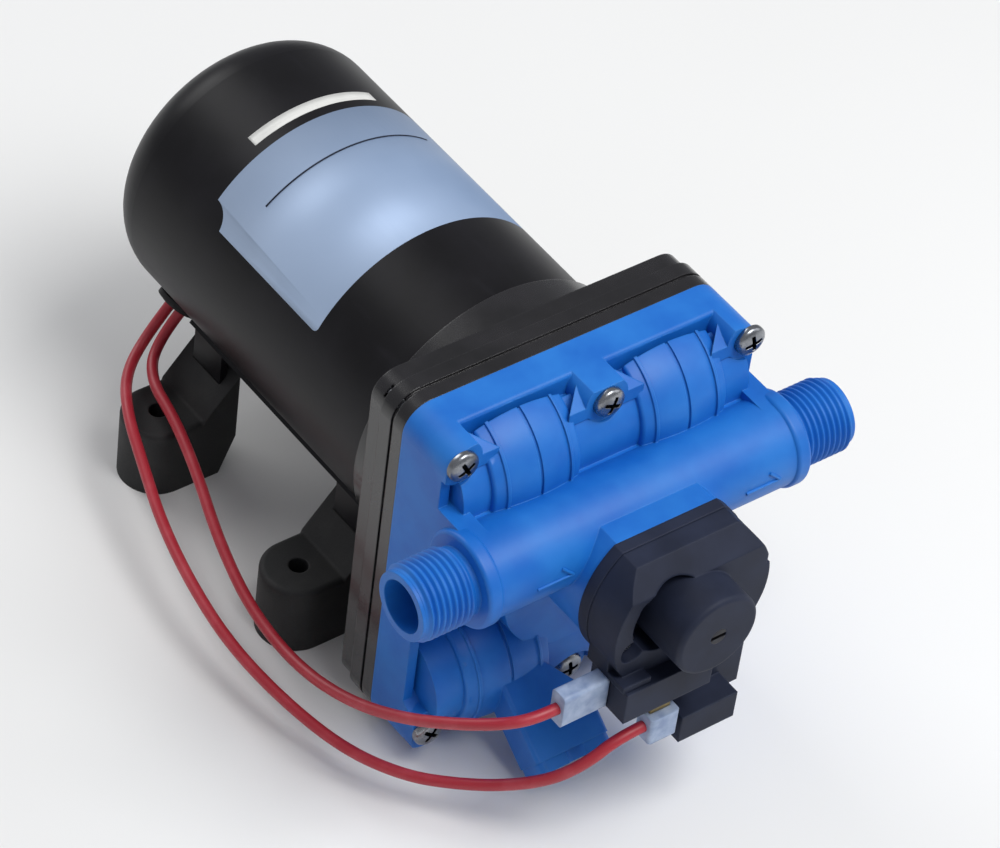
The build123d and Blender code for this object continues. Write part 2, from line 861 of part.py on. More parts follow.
def drive_housing():
    """The black rear housing: wobble space in front, ribbed pockets and a motor collar behind."""
    body = slab(head_outline(), -drive_step_from_joint, 0)
    body += slab(head_outline(drive_step), -drive_depth, -drive_step_from_joint)
    groove = slab(head_outline(), -groove_from_joint - groove_width, -groove_from_joint)
    groove -= slab(head_outline(groove_depth), -drive_depth, 0)
    body -= groove
    # pockets open at the back, between the skin and the wall round the wobble space
    pockets = slab(head_outline(drive_skin), -drive_depth - overrun, -drive_face_wall)
    pockets -= slab(cavity_outline(cavity_wall), -drive_depth - overrun, 0)
    pockets -= disc(collar_outside, -drive_depth - overrun, 0)
    for x, y in head_screw_places():
        pockets -= disc(drive_tower_radius, -drive_depth - overrun, 0, x, y)
    half_rib = drive_rib / 2
    half = head_width / 2
    for x in (-screw_column, 0, screw_column):
        pockets -= block(x - half_rib, x + half_rib, -head_below_axis, head_above_axis,
                         -drive_depth - overrun, 0)
    rib_rows = (upper_screw_row, -lower_screw_row, drive_rib_above_screws - lower_screw_row)
    for y in rib_rows:
        pockets -= block(-half, half, y - half_rib, y + half_rib, -drive_depth - overrun, 0)
    body -= pockets
    back = -drive_cavity_depth - drive_back_wall
    collar = disc(collar_outside, back - collar_reach, 0)
    collar -= disc(motor_radius + can_gap, back - collar_reach - overrun, back)
    body += collar
    body += disc(motor_radius + can_gap, back, 0) & slab(head_outline(), back, 0)
    body -= slab(cavity_outline(), -drive_cavity_depth, overrun)
    body -= slab(diaphragm_outline(press_gap), -diaphragm_thickness, overrun)
    body -= disc(shaft_window_radius, back - overrun, 0)
    for x, y in motor_screw_places():
        body -= disc(motor_screw_radius + screw_hole_gap, back - overrun, 0, x, y)
    for x, y in head_screw_places():
        body -= disc(head_screw_radius + press_gap, -head_screw_grip_in_drive - press_gap,
                     overrun, x, y)
    return body


def motor_screw_places():
    """Four screws in a ring that hold the motor's front plate to the drive housing."""
    angles = around(motor_screws_count, motor_screw_angle)
    return [polar(motor_screws_from_axis, angle) for angle in angles]


def motor_screws():
    """The four screws, with their heads in the wobble space."""
    screws = []
    for x, y in motor_screw_places():
        head = disc(motor_screw_head_radius, -drive_cavity_depth,
                    motor_screw_head_height - drive_cavity_depth, x, y)
        tip = -drive_cavity_depth - drive_back_wall - front_plate_thickness
        screws.append(head + disc(motor_screw_radius, tip, -drive_cavity_depth, x, y))
    return Compound(screws)


motor_front = -drive_cavity_depth - drive_back_wall


def front_bearing_middle():
    """Where the middle of the motor's front bearing lies."""
    back = motor_front - front_plate_thickness - front_plate_boss_length
    return back + front_bearing_width / 2 + edge_round


def motor_front_plate():
    """The die-cast plate that closes the can's front and holds the front bearing."""
    back = motor_front - front_plate_thickness
    plate = disc(motor_radius - motor_wall - press_gap, back, motor_front - press_gap)
    plate += disc(front_plate_boss_radius, back - front_plate_boss_length, motor_front - press_gap)
    middle = front_bearing_middle()
    plate -= disc(front_bearing_outside / 2 + press_gap, middle - front_bearing_width / 2, 0)
    plate -= disc(front_bearing_outside / 2 - edge_round, back - front_bearing_outside, 0)
    for x, y in motor_screw_places():
        plate -= disc(motor_screw_radius + press_gap, back - overrun, 0, x, y)
    return plate


def motor_shaft():
    """The steel shaft from the cam to the rear bush, stepped at the front bearing."""
    rear = motor_wall + press_gap - motor_end + edge_round
    return disc(shaft_radius, rear, -shaft_front_depth)


def armature_core():
    """The slotted stack of laminations on the shaft."""
    outside = motor_radius - motor_wall - magnet_thickness - air_gap
    core = disc(outside, -core_start - core_length, -core_start)
    for angle in around(slot_count, 0):
        slot = block(outside - slot_depth, outside + overrun, -slot_width / 2, slot_width / 2,
                     -core_start - core_length - overrun, overrun - core_start)
        core -= Rot(0, 0, angle) * slot
    core -= disc(shaft_radius + press_gap, -motor_end, 0)
    return core


def armature_windings():
    """The copper: a bundle in every slot, joined by an overhang at each end of the core."""
    outside = motor_radius - motor_wall - magnet_thickness - air_gap
    band_outer = outside - slot_depth + winding_band
    inner = outside - slot_depth + winding_gap
    front = winding_gap - core_start
    back = -core_start - core_length - winding_gap
    copper = ring(band_outer, inner, front, front + winding_overhang)
    copper = fillet(copper.edges().filter_by(GeomType.CIRCLE).group_by(Axis.Z)[-1], edge_round)
    copper += ring(band_outer, inner, back - winding_overhang, back)
    half = slot_width / 2 - winding_gap
    for angle in around(slot_count, 0):
        bundle = block(inner, band_outer, -half, half, back - winding_gap, front + winding_gap)
        copper += Rot(0, 0, angle) * bundle
    return copper


def commutator():
    """The copper commutator behind the armature."""
    start, end = -commutator_start - commutator_length, -commutator_start
    return ring(commutator_radius, shaft_radius + press_gap, start, end)


def brush_holder():
    """The insulating ring in the can's tail that carries both brush boxes."""
    start = -brush_holder_start - brush_holder_thickness
    holder = ring(brush_holder_radius, brush_holder_hole, start, -brush_holder_start)
    for side in (0, 180):
        box = block(brush_holder_hole + overrun, brush_box_end,
                    -brush_width / 2 - brush_box_wall, brush_width / 2 + brush_box_wall,
                    start - brush_height - brush_box_wall, start)
        bore = block(brush_holder_hole, brush_box_end - brush_box_wall,
                     -brush_width / 2 - running_gap, brush_width / 2 + running_gap,
                     start - brush_height - running_gap, start)
        holder += Rot(0, 0, side) * box
        holder -= Rot(0, 0, side) * bore
    return holder


def brushes():
    """Two carbon brushes on the commutator."""
    start = -brush_holder_start - brush_holder_thickness
    carbon = block(commutator_radius + running_gap, commutator_radius + brush_length,
                   -brush_width / 2, brush_width / 2, start - brush_height, start - running_gap)
    return Compound([Rot(0, 0, side) * carbon for side in (0, 180)])


def brush_springs():
    """The springs that press the brushes inward."""
    inner = commutator_radius + brush_length + running_gap
    middle_z = -brush_holder_start - brush_holder_thickness - brush_height / 2
    spring = rod_x(brush_spring_radius, inner, inner + brush_spring_length - spring_end_gap,
                   0, middle_z)
    return Compound([Rot(0, 0, side) * spring for side in (0, 180)])


def magnets():
    """Two curved magnets inside the can, left and right."""
    outer = motor_radius - motor_wall - press_gap
    shell = ring(outer, outer - magnet_thickness, -magnet_start - magnet_length, -magnet_start)
    reach = motor_radius
    rise = reach * math.tan(math.radians(magnet_angle / 2))
    wedge = make_face(Polyline(
        Vector(0, 0, 0), Vector(reach, rise, 0), Vector(reach, -rise, 0), close=True))
    magnet = shell & slab(wedge, -magnet_start - magnet_length, -magnet_start)
    return Compound([magnet, Rot(0, 0, 180) * magnet])


def rear_bush():
    """The bronze bush in the can's tail."""
    end = motor_end_wall - motor_end
    return ring(rear_bush_radius, shaft_radius + running_gap, end, end + rear_bush_length)


def motor_can():
    """The deep-drawn steel can, closed and well rounded at its tail."""
    can = disc(motor_radius, -motor_end, motor_front - press_gap)
    tail = can.edges().filter_by(GeomType.CIRCLE).sort_by(Axis.Z)[0]
    can = fillet(tail, motor_end_round)
    inside = disc(motor_radius - motor_wall, motor_end_wall - motor_end, 0)
    tail = inside.edges().filter_by(GeomType.CIRCLE).sort_by(Axis.Z)[0]
    can -= fillet(tail, motor_end_round - motor_wall)
    floor = motor_end_wall - motor_end
    can += disc(rear_boss_radius, floor, floor + rear_boss_length)
    can -= disc(rear_bush_radius + press_gap, floor, floor + rear_boss_length + overrun)
    can -= grommet_hole()
    return can


def grommet_line(start, end, radius):
    """A bar out through the can's wall, along the line where the leads leave."""
    x, y = polar(1, grommet_angle)
    plane = Plane(origin=(0, 0, -grommet_from_joint), x_dir=(0, 0, 1), z_dir=(x, y, 0))
    bar = Cylinder(radius, end - start, align=(Align.CENTER, Align.CENTER, Align.MIN))
    return Location(plane) * Pos(0, 0, start) * bar


def grommet_hole():
    """The hole in the can for the grommet."""
    return grommet_line(motor_radius - motor_wall - overrun, motor_radius + overrun,
                        grommet_radius + press_gap)


def cable_grommet():
    """The rubber grommet in the can's underside, with two holes for the leads."""
    outside = motor_radius + press_gap
    body = grommet_line(motor_radius - grommet_inside,
                        outside + grommet_flange_thickness + grommet_lip, grommet_radius)
    body += grommet_line(outside, outside + grommet_flange_thickness, grommet_flange_radius)
    return body


def grommet_exit(side, out=0):
    """The place where one lead leaves the grommet, or a place further out on its line."""
    reach = motor_radius + press_gap + grommet_flange_thickness + grommet_lip + out
    x, y = polar(reach, grommet_angle)
    return Vector(x, y, side * lead_gap / 2 - grommet_from_joint)


def foot_places():
    """The four feet: front and back, left and right."""
    places = {}
    for end, back in (("front", front_holes_behind_joint),
                      ("rear", front_holes_behind_joint + foot_hole_gap_y)):
        for side, x in (("left", -foot_hole_gap_x / 2), ("right", foot_hole_gap_x / 2)):
            places[f"foot_{end}_{side}"] = (x, -back)
    return places


def strap(x, z, gap=0):
    """The bent steel tongue that reaches from the saddle into one foot."""
    half = strap_width / 2 + gap
    drop = block(strap_inner_x - gap, strap_outer_x + gap, -strap_below - gap, strap_top,
                 -half, half)
    reach = block(strap_inner_x - gap, strap_reach + gap,
                  -strap_below - gap, saddle_thickness - strap_below + gap, -half, half)
    tongue = Pos(0, 0, z) * (drop + reach)
    return tongue if x > 0 else mirror(tongue, about=Plane.YZ)


def base_saddle():
    """The steel saddle that hugs the motor's underside, with a tongue for each foot."""
    inner = motor_radius + can_gap
    shell = ring(saddle_outside, inner, -saddle_back, -saddle_front)
    reach = motor_radius * 2
    half = math.radians(saddle_half_angle)
    wedge = make_face(Polyline(
        Vector(0, 0, 0),
        Vector(-reach * math.tan(half), -reach, 0),
        Vector(reach * math.tan(half), -reach, 0),
        close=True))
    saddle = shell & slab(wedge, -saddle_back, -saddle_front)
    for x, z in foot_places().values():
        saddle += strap(x, z)
    return saddle - disc(inner, -motor_end, 0)


def foot(x, z):
    """One rubber foot: a sloping arm with a round pad and a hole for the mounting screw."""
    floor = -axis_height
    outer = foot_hole_gap_x / 2 + foot_width / 2
    profile = make_face(Polyline(
        Vector(foot_inner_x, -foot_inner_below, 0),
        Vector(foot_inner_x + foot_slope_width, floor + foot_height, 0),
        Vector(outer, floor + foot_height, 0),
        Vector(outer, floor, 0),
        Vector(foot_inner_x + foot_under_width, floor, 0),
        Vector(foot_inner_x, floor + foot_under_height, 0),
        close=True))
    body = slab(profile, -foot_width / 2, foot_width / 2)
    plan = block(foot_inner_x, foot_hole_gap_x / 2, floor, 0, -foot_width / 2, foot_width / 2)
    end = Cylinder(foot_width / 2, axis_height, align=(Align.CENTER, Align.CENTER, Align.MIN))
    plan += Pos(foot_hole_gap_x / 2, 0, 0) * Rot(90, 0, 0) * end
    body = body & plan
    flat_top = body.faces().filter_by(Plane.XZ).sort_by(Axis.Y)[-1]
    body = fillet(flat_top.edges(), foot_edge_round)
    bore = Cylinder(foot_bore_radius, axis_height * 2)
    body -= Pos(foot_hole_gap_x / 2, -axis_height / 2, 0) * Rot(90, 0, 0) * bore
    body = Pos(0, 0, z) * body
    body = body if x > 0 else mirror(body, about=Plane.YZ)
    return body - strap(x, z, strap_slot_gap)


def switch_screw_places():
    """The switch's screws, one in the moat and two near the edge, and where their heads seat."""
    x, y = polar(moat_screw_from_middle, moat_screw_angle)
    places = [(x, y + hub_above_axis, switch_cover_front - moat_depth)]
    for angle in edge_screw_angles:
        x, y = polar(edge_screws_from_middle, angle)
        places.append((x, y + hub_above_axis, switch_cover_front - edge_screw_depth))
    return places


def switch_outline(inset=0):
    """The round outline of the switch with its flat top."""
    outline = Pos(0, hub_above_axis) * Circle(switch_radius - inset)
    width = switch_radius * 2
    cut = Pos(0, switch_flat_above - inset + width / 2) * Rectangle(width, width)
    return outline - cut


def button_place():
    """The microswitch button's place, level with the middle of its body."""
    return -button_x, -micro_top_below - micro_height / 2


def plunger_outline(gap=0):
    """The plunger's plate with its arm out to the button."""
    x, y = button_place()
    outline = Pos(0, hub_above_axis) * Circle(plunger_plate_radius + gap)
    run = Vector(x, y - hub_above_axis)
    angle = math.degrees(math.atan2(run.Y, run.X))
    arm = Pos(x / 2, (y + hub_above_axis) / 2) * Rot(0, 0, angle) * Rectangle(
        run.length, plunger_arm_width + 2 * gap)
    tip = Pos(x, y) * Circle(plunger_arm_width / 2 + gap)
    return outline + arm + tip


plate_back = hub_front + plunger_plate_lift + running_gap
plate_front = plate_back + plunger_plate_thickness
switch_joint = hub_front + switch_base_thickness
cover_recess = plate_front + plunger_travel + plunger_front_gap - switch_joint
adjuster_seat_start = switch_cover_front + adjuster_seat_forward


def switch_base():
    """The switch's round flange against the hub."""
    base = slab(switch_outline(), hub_front, switch_joint)
    base -= disc(plunger_stem_radius + plunger_stem_gap, hub_front - overrun,
                 switch_joint + overrun, 0, hub_above_axis)
    base -= slab(plunger_outline(plunger_arm_gap), plate_back - running_gap, switch_joint + overrun)
    for x, y, seat in switch_screw_places():
        base -= disc(switch_screw_radius + screw_hole_gap, hub_front - overrun,
                     switch_joint + overrun, x, y)
    return base


def switch_moat():
    """The round pocket that the barrel leaves a crescent of, with a tip at each angle."""
    half_span = math.radians((moat_to_angle - moat_from_angle) / 2)
    tips = switch_barrel_radius * math.cos(half_span)
    off = (moat_outer_radius ** 2 - switch_barrel_radius ** 2) / (moat_outer_radius - tips) / 2
    x, y = polar(off, (moat_from_angle + moat_to_angle) / 2)
    return disc(moat_outer_radius - off, switch_cover_front - moat_depth,
                switch_cover_front + overrun, x, y + hub_above_axis)


def micro_box(gap=0):
    """The space of the microswitch's body."""
    top = -micro_top_below + gap
    return block(-micro_left - gap, micro_length - micro_left + gap,
                 -micro_top_below - micro_height - gap, top,
                 micro_back - gap, micro_back + micro_depth + gap)


def switch_cover():
    """The black cover: barrel, moat, sloped top, ledge and skirt round the microswitch."""
    cover = slab(switch_outline(switch_cover_inset), switch_joint, switch_cover_front)
    cover += block(switch_skirt_left, switch_skirt_right, -switch_skirt_below, hub_above_axis,
                   switch_joint, switch_skirt_front)
    cover += block(switch_block_left, switch_block_right, -switch_block_below,
                   -switch_block_top, switch_joint, switch_block_front)
    cover += block(-ledge_left, -ledge_right, -ledge_below - ledge_thickness, -ledge_below,
                   switch_joint, ledge_front)
    cover += block(-ledge_left, 0, -ledge_below - ledge_thickness, hub_above_axis,
                   switch_joint, switch_skirt_front)
    top = switch_flat_above + overrun
    slope = switch_chamfer + overrun
    front = switch_cover_front + overrun
    cover -= side_profile([(front - slope - overrun, top), (front, top), (front, top - slope - overrun)],
                          -switch_radius, switch_radius)
    notch_x = switch_radius - switch_notch_depth
    notch_y = hub_above_axis + switch_notch_above
    cover -= block(notch_x, switch_radius, notch_y, notch_y + switch_notch_width,
                   switch_joint, front)
    cover -= switch_moat()
    barrel_body = disc(switch_barrel_radius, switch_joint, switch_barrel_front, 0, hub_above_axis)
    barrel_body = fillet(
        barrel_body.edges().filter_by(GeomType.CIRCLE).sort_by(Axis.Z)[-1], switch_barrel_round)
    cover += barrel_body
    for x, y, seat in switch_screw_places():
        cover -= disc(switch_screw_well_radius, seat, front, x, y)
        cover -= disc(switch_screw_radius + screw_hole_gap, switch_joint - overrun, front, x, y)
    cover -= slab(plunger_outline(plunger_arm_gap), switch_joint - overrun,
                  switch_joint + cover_recess)
    seat_end = adjuster_seat_start + adjuster_seat_thickness
    cover -= disc(spring_chamber_radius, switch_joint - overrun, seat_end + running_gap,
                  0, hub_above_axis)
    cover -= disc(adjuster_radius + running_gap, seat_end - overrun,
                  switch_barrel_front + overrun, 0, hub_above_axis)
    cover -= micro_box(micro_gap)
    button = button_place()
    cover -= disc(button_radius + running_gap, switch_joint - overrun, micro_back, *button)
    return cover


def switch_screws():
    """Three screws through the cover and flange into the hub."""
    screws = []
    for x, y, seat in switch_screw_places():
        head = disc(switch_screw_head_radius, seat, seat + switch_screw_head_height, x, y)
        screws.append(head + disc(switch_screw_radius, seat - switch_screw_length, seat, x, y))
    return Compound(screws)


def switch_diaphragm():
    """The rubber disc that feels the outlet pressure."""
    return disc(switch_diaphragm_radius, hub_front - switch_diaphragm_thickness, hub_front,
                0, hub_above_axis)


def switch_plunger():
    """The plunger: stem, plate with its arm, and the boss inside the spring."""
    plunger = disc(plunger_stem_radius, hub_front, plate_front, 0, hub_above_axis)
    plunger += slab(plunger_outline(), plate_back, plate_front)
    plunger += disc(plunger_boss_radius, plate_front, plate_front + plunger_boss_length,
                    0, hub_above_axis)
    return plunger


def switch_spring():
    """The spring over the plunger, with room at its front for the plunger's travel."""
    start = plate_front + press_gap
    end = adjuster_seat_start - plunger_travel - spring_end_gap
    return ring(spring_outer_radius, spring_outer_radius - spring_wire, start, end,
                0, hub_above_axis)


def pressure_adjuster():
    """The screw in the barrel's front that sets the spring."""
    seat_end = adjuster_seat_start + adjuster_seat_thickness
    front = switch_barrel_front
    screw = disc(adjuster_seat_radius, adjuster_seat_start, seat_end, 0, hub_above_axis)
    screw += disc(adjuster_radius, adjuster_seat_start, front, 0, hub_above_axis)
    half = adjuster_slot_width / 2
    screw -= block(-adjuster_radius, adjuster_radius, hub_above_axis - half,
                   hub_above_axis + half, front - adjuster_slot_depth, front + overrun)
    return screw


def side_blade(gap=0):
    """The microswitch's terminal that points to the left."""
    middle_y = -micro_top_below - micro_height / 2
    half = blade_width / 2 + gap
    thick = blade_thickness / 2 + gap
    return block(-micro_left - blade_length, blade_root - micro_left, middle_y - half,
                 middle_y + half, side_blade_forward - thick, side_blade_forward + thick)


def lower_blade(gap=0):
    """The microswitch's terminal that points down."""
    bottom = -micro_top_below - micro_height
    half = blade_width / 2 + gap
    thick = blade_thickness / 2 + gap
    return block(-lower_blade_x - half, half - lower_blade_x, bottom - blade_length,
                 bottom + blade_root, lower_blade_forward - thick, lower_blade_forward + thick)


def spade_terminals():
    """The two brass blades of the microswitch."""
    return Compound([side_blade(), lower_blade()])


def microswitch():
    """The snap switch under the cover."""
    body = micro_box()
    body -= side_blade(press_gap) + lower_blade(press_gap)
    stroke = button_sunk + plunger_travel + running_gap
    body -= disc(button_radius + running_gap, micro_back - overrun, micro_back + stroke,
                 *button_place())
    return body


def microswitch_button():
    """The small button that the plunger's arm presses."""
    return disc(button_radius, plate_front + press_gap, micro_back + button_sunk, *button_place())


def side_sleeve():
    """The insulating sleeve over the left terminal."""
    middle_y = -micro_top_below - micro_height / 2
    right = -micro_left - sleeve_gap
    half_y, half_z = sleeve_height / 2, sleeve_depth / 2
    body = block(right - sleeve_length, right, middle_y - half_y, middle_y + half_y,
                 side_blade_forward - half_z, side_blade_forward + half_z)
    body = fillet(body.edges().filter_by(Axis.X), sleeve_round)
    body -= block(right - sleeve_length + sleeve_wall, right + overrun,
                  middle_y - half_y + sleeve_wall, middle_y + half_y - sleeve_wall,
                  side_blade_forward - half_z + sleeve_wall,
                  side_blade_forward + half_z - sleeve_wall)
    return body


def flag_sleeve():
    """The insulating sleeve over the lower terminal, whose lead leaves to the left."""
    top = -flag_below
    half_x, half_z = flag_length / 2, flag_depth / 2
    body = block(-lower_blade_x - half_x, half_x - lower_blade_x, top - flag_height, top,
                 lower_blade_forward - half_z, lower_blade_forward + half_z)
    body = fillet(body.edges().filter_by(Axis.Y), sleeve_round)
    body -= block(-lower_blade_x - half_x + sleeve_wall, half_x - sleeve_wall - lower_blade_x,
                  top - flag_height + sleeve_wall, top - sleeve_wall,
                  lower_blade_forward - half_z + sleeve_wall,
                  lower_blade_forward + half_z - sleeve_wall)
    return body - lower_blade(micro_gap)


def crimp_terminals():
    """The metal receptacles inside the two sleeves, pushed on to the blades."""
    right = -micro_left - sleeve_gap
    middle_y = -micro_top_below - micro_height / 2
    half_y = sleeve_height / 2 - sleeve_wall - running_gap
    half_z = crimp_depth / 2
    side = block(right - crimp_length, right, middle_y - half_y, middle_y + half_y,
                 side_blade_forward - half_z, side_blade_forward + half_z)
    half_x = flag_length / 2 - sleeve_wall - running_gap
    high = -flag_below - sleeve_wall - running_gap
    low = sleeve_wall + running_gap - flag_below - flag_height
    flag = block(-lower_blade_x - half_x, half_x - lower_blade_x, low, high,
                 lower_blade_forward - half_z, lower_blade_forward + half_z)
    return Compound([side - side_blade(running_gap), flag - lower_blade(running_gap)])


def side_lead_end(out=0):
    """The place on the left sleeve's end where its lead arrives, or one further out."""
    return Vector(-micro_left - sleeve_gap - sleeve_length - out,
                  -micro_top_below - micro_height / 2, side_blade_forward)


def flag_lead_end(out=0):
    """The place on the flag sleeve's left face where its lead arrives, or one further out."""
    return Vector(-lower_blade_x - flag_length / 2 - out, -flag_below - flag_height / 2,
                  lower_blade_forward)


def bypass_poppet():
    """The poppet that lifts off its seat when the outlet pressure is high."""
    start = bypass_length - bypass_bore_length
    poppet = bypass_bar(bypass_bore_radius - running_gap, start, start + poppet_length)
    return poppet - bypass_bar(poppet_hollow_radius, start + poppet_length - poppet_hollow_depth,
                               start + poppet_length + overrun)


def bypass_spring():
    """The spring behind the poppet, with room at the cap for the poppet's travel."""
    start = bypass_length - bypass_bore_length + poppet_length - poppet_hollow_depth
    end = bypass_length - bypass_travel - spring_end_gap
    spring = bypass_bar(bypass_spring_outer, start, end)
    return spring - bypass_bar(bypass_spring_outer - bypass_spring_wire, start - overrun,
                               end + overrun)


def bypass_cap():
    """The small cap at the low end of the bypass block, notched between its screws."""
    plate = Pos(0, -bypass_thickness / 2) * RectangleRounded(
        bypass_width, bypass_thickness, bypass_cap_corner)
    for y in (0, -bypass_thickness):
        plate -= Pos(0, y + bypass_notch_radius * notch_share * (1 if y == 0 else -1)) * Circle(
            bypass_notch_radius)
    cap = bypass_frame() * slab(plate, bypass_length, bypass_length + bypass_cap_thickness)
    for x in bypass_screw_places():
        cap -= bypass_bar(bypass_screw_radius + screw_hole_gap, bypass_length - overrun,
                          bypass_length + bypass_cap_thickness + overrun, x)
    return cap


def bypass_screws():
    """The two small screws of the bypass cap."""
    seat = bypass_length + bypass_cap_thickness
    screws = []
    for x in bypass_screw_places():
        screws.append(
            bypass_bar(bypass_screw_head_radius, seat, seat + bypass_screw_head_height, x)
            + bypass_bar(bypass_screw_radius, seat - bypass_screw_length, seat, x))
    return Compound(screws)


def placed(point):
    """A point of the pump's own frame where it lies when the pump stands on its feet."""
    return Vector(point.X, joint_y - point.Z, axis_height + point.Y)


def lead(name, start, route, end):
    """One lead: straight runs joined by the largest arcs that they allow."""
    points = [placed(point) for point in start]
    points += [Vector(*point) for point in route]
    points += [placed(point) for point in end]
    runs = [after - before for before, after in zip(points, points[1:])]
    radii = []
    length = sum(run.length for run in runs)
    for before, after in zip(runs, runs[1:]):
        turn = math.radians(before.get_angle(after))
        shorter = min(before.length, after.length)
        radii.append(bend_share * shorter / math.tan(turn / 2))
        length += radii[-1] * (turn - 2 * math.tan(turn / 2))
    path = FilletPolyline(*points, radius=radii)
    section = Plane(origin=points[0], z_dir=runs[0]) * Circle(lead_diameter / 2)
    tube = sweep(section, path=path)
    expected = math.pi * lead_diameter ** 2 / 4 * length
    print(name, "length", round(length, 1), "radii", [round(radius, 1) for radius in radii],
          "volume against section times length", round(tube.volume / expected, 4))
    return tube


# The routes of the two leads, where the pump stands, between their straight ends
switch_lead_route = [
    (-44.0, 40.0, 28.0),
    (-46.0, 25.0, 27.0),
    (-50.5, 7.0, 24.5),
    (-57.1, -13.8, 20.5),
    (-61.9, -36.7, 17.0),
    (-63.0, -60.0, 17.0),
    (-62.5, -82.0, 24.0),
    (-60.0, -101.0, 34.0),
    (-55.5, -117.0, 44.5),
    (-49.6, -127.2, 50.8),
]
supply_lead_route = [
    (-48.0, 46.5, 26.5),
    (-56.0, 33.0, 27.0),
    (-60.6, 18.0, 23.5),
    (-66.2, 0.2, 20.0),
    (-70.7, -20.8, 18.0),
    (-73.1, -43.6, 16.0),
    (-70.5, -65.5, 13.0),
    (-65.0, -86.0, 10.5),
    (-56.5, -101.0, 10.0),
    (-47.7, -111.0, 11.5),
    (-40.0, -121.0, 16.0),
    (-33.0, -130.5, 23.5),
    (-27.0, -136.2, 32.0),
]


def own_frame_pieces():
    """Every piece that is drawn in the pump's own frame, under its node's name."""
    pieces = {
        "upper_housing": upper_housing(),
        "head_screws": head_screws(),
        "seal_ring": seal_ring(),
        "valve_plate": valve_plate(),
        "inlet_valves": inlet_valves(),
        "outlet_valve": outlet_valve(),
        "diaphragm": diaphragm(),
        "piston_screws": piston_screws(),
        "wobble_plate": wobble_plate(),
        "cam": cam(),
        "drive_housing": drive_housing(),
        "motor_screws": motor_screws(),
        "motor_front_plate": motor_front_plate(),
        "motor_shaft": motor_shaft(),
        "armature_core": armature_core(),
        "armature_windings": armature_windings(),
        "commutator": commutator(),
        "brush_holder": brush_holder(),
        "brushes": brushes(),
        "brush_springs": brush_springs(),
        "magnets": magnets(),
        "rear_bush": rear_bush(),
        "motor_can": motor_can(),
        "cable_grommet": cable_grommet(),
        "base_saddle": base_saddle(),
        "switch_base": switch_base(),
        "switch_cover": switch_cover(),
        "switch_screws": switch_screws(),
        "switch_diaphragm": switch_diaphragm(),
        "switch_plunger": switch_plunger(),
        "switch_spring": switch_spring(),
        "pressure_adjuster": pressure_adjuster(),
        "microswitch": microswitch(),
        "microswitch_button": microswitch_button(),
        "spade_terminals": spade_terminals(),
        "crimp_terminals": crimp_terminals(),
        "side_sleeve": side_sleeve(),
        "flag_sleeve": flag_sleeve(),
        "bypass_poppet": bypass_poppet(),
        "bypass_spring": bypass_spring(),
        "bypass_cap": bypass_cap(),
        "bypass_screws": bypass_screws(),
    }
    for number, angle in enumerate(chamber_angles, start=1):
        pieces[f"piston_{number}"] = piston(angle)
    for name, (x, z) in foot_places().items():
        pieces[name] = foot(x, z)
    wobble = bearing(wobble_bearing_bore, wobble_bearing_outside, wobble_bearing_width,
                     wobble_balls, -wobble_centre_depth)
    motor = bearing(2 * (shaft_radius + press_gap), front_bearing_outside, front_bearing_width,
                    front_bearing_balls, front_bearing_middle())
    for part_name, from_wobble, from_motor in zip(("inner", "outer", "balls"), wobble, motor):
        pieces[f"wobble_bearing_{part_name}"] = wobble_tilted * from_wobble
        pieces[f"front_bearing_{part_name}"] = from_motor
    return pieces


def main():
    """Builds every piece and writes one file for each."""
    os.makedirs("parts", exist_ok=True)
    for name, shape in own_frame_pieces().items():
        export_step(laid_down * shape, f"parts/{name}.step")
    leads = {
        "switch_lead": lead(
            "switch_lead", (grommet_exit(1), grommet_exit(1, grommet_stub)), switch_lead_route,
            (side_lead_end(side_sleeve_stub), side_lead_end())),
        "supply_lead": lead(
            "supply_lead", (grommet_exit(-1), grommet_exit(-1, grommet_stub)),
            supply_lead_route, (flag_lead_end(flag_sleeve_stub), flag_lead_end())),
    }
    for name, tube in leads.items():
        export_step(tube, f"parts/{name}.step")


main()
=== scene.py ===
import json
import math
import bmesh
import bpy
from mathutils import Matrix, Vector


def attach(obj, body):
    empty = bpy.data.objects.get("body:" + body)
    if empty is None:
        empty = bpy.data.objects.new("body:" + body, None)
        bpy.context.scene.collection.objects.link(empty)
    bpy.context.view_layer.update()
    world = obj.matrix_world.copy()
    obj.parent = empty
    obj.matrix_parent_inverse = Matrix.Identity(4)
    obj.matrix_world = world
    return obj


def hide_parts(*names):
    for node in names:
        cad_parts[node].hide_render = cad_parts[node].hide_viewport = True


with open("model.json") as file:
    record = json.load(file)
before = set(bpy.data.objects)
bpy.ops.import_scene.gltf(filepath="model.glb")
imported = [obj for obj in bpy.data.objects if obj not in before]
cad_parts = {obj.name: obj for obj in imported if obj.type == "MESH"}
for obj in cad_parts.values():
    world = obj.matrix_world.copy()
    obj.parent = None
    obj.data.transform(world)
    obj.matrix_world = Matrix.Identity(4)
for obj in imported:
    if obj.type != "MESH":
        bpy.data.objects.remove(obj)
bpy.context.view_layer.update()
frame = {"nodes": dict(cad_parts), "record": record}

# Looks of a 12 V diaphragm water pump. All lengths are in metres, in the frame of the CAD model:
# Z is up, Y runs back along the motor and X runs along the ports, from inlet to outlet.
mm = 0.001
shaft_height = 70 * mm
joint_y = -75 * mm
port_axis = (joint_y - 30.4 * mm, shaft_height + 13.7 * mm)
screw_seat_y = joint_y - 18.5 * mm
nodes = frame["nodes"]


# The camera looks at the pump as the printed picture shows it
view_azimuth = math.radians(-41.6)
view_elevation = math.radians(43.8)
view_roll = math.radians(8.0)
view_distance = 1.19
view_target = Vector((0, -0.055, 0.070))
view_lens = 165.0


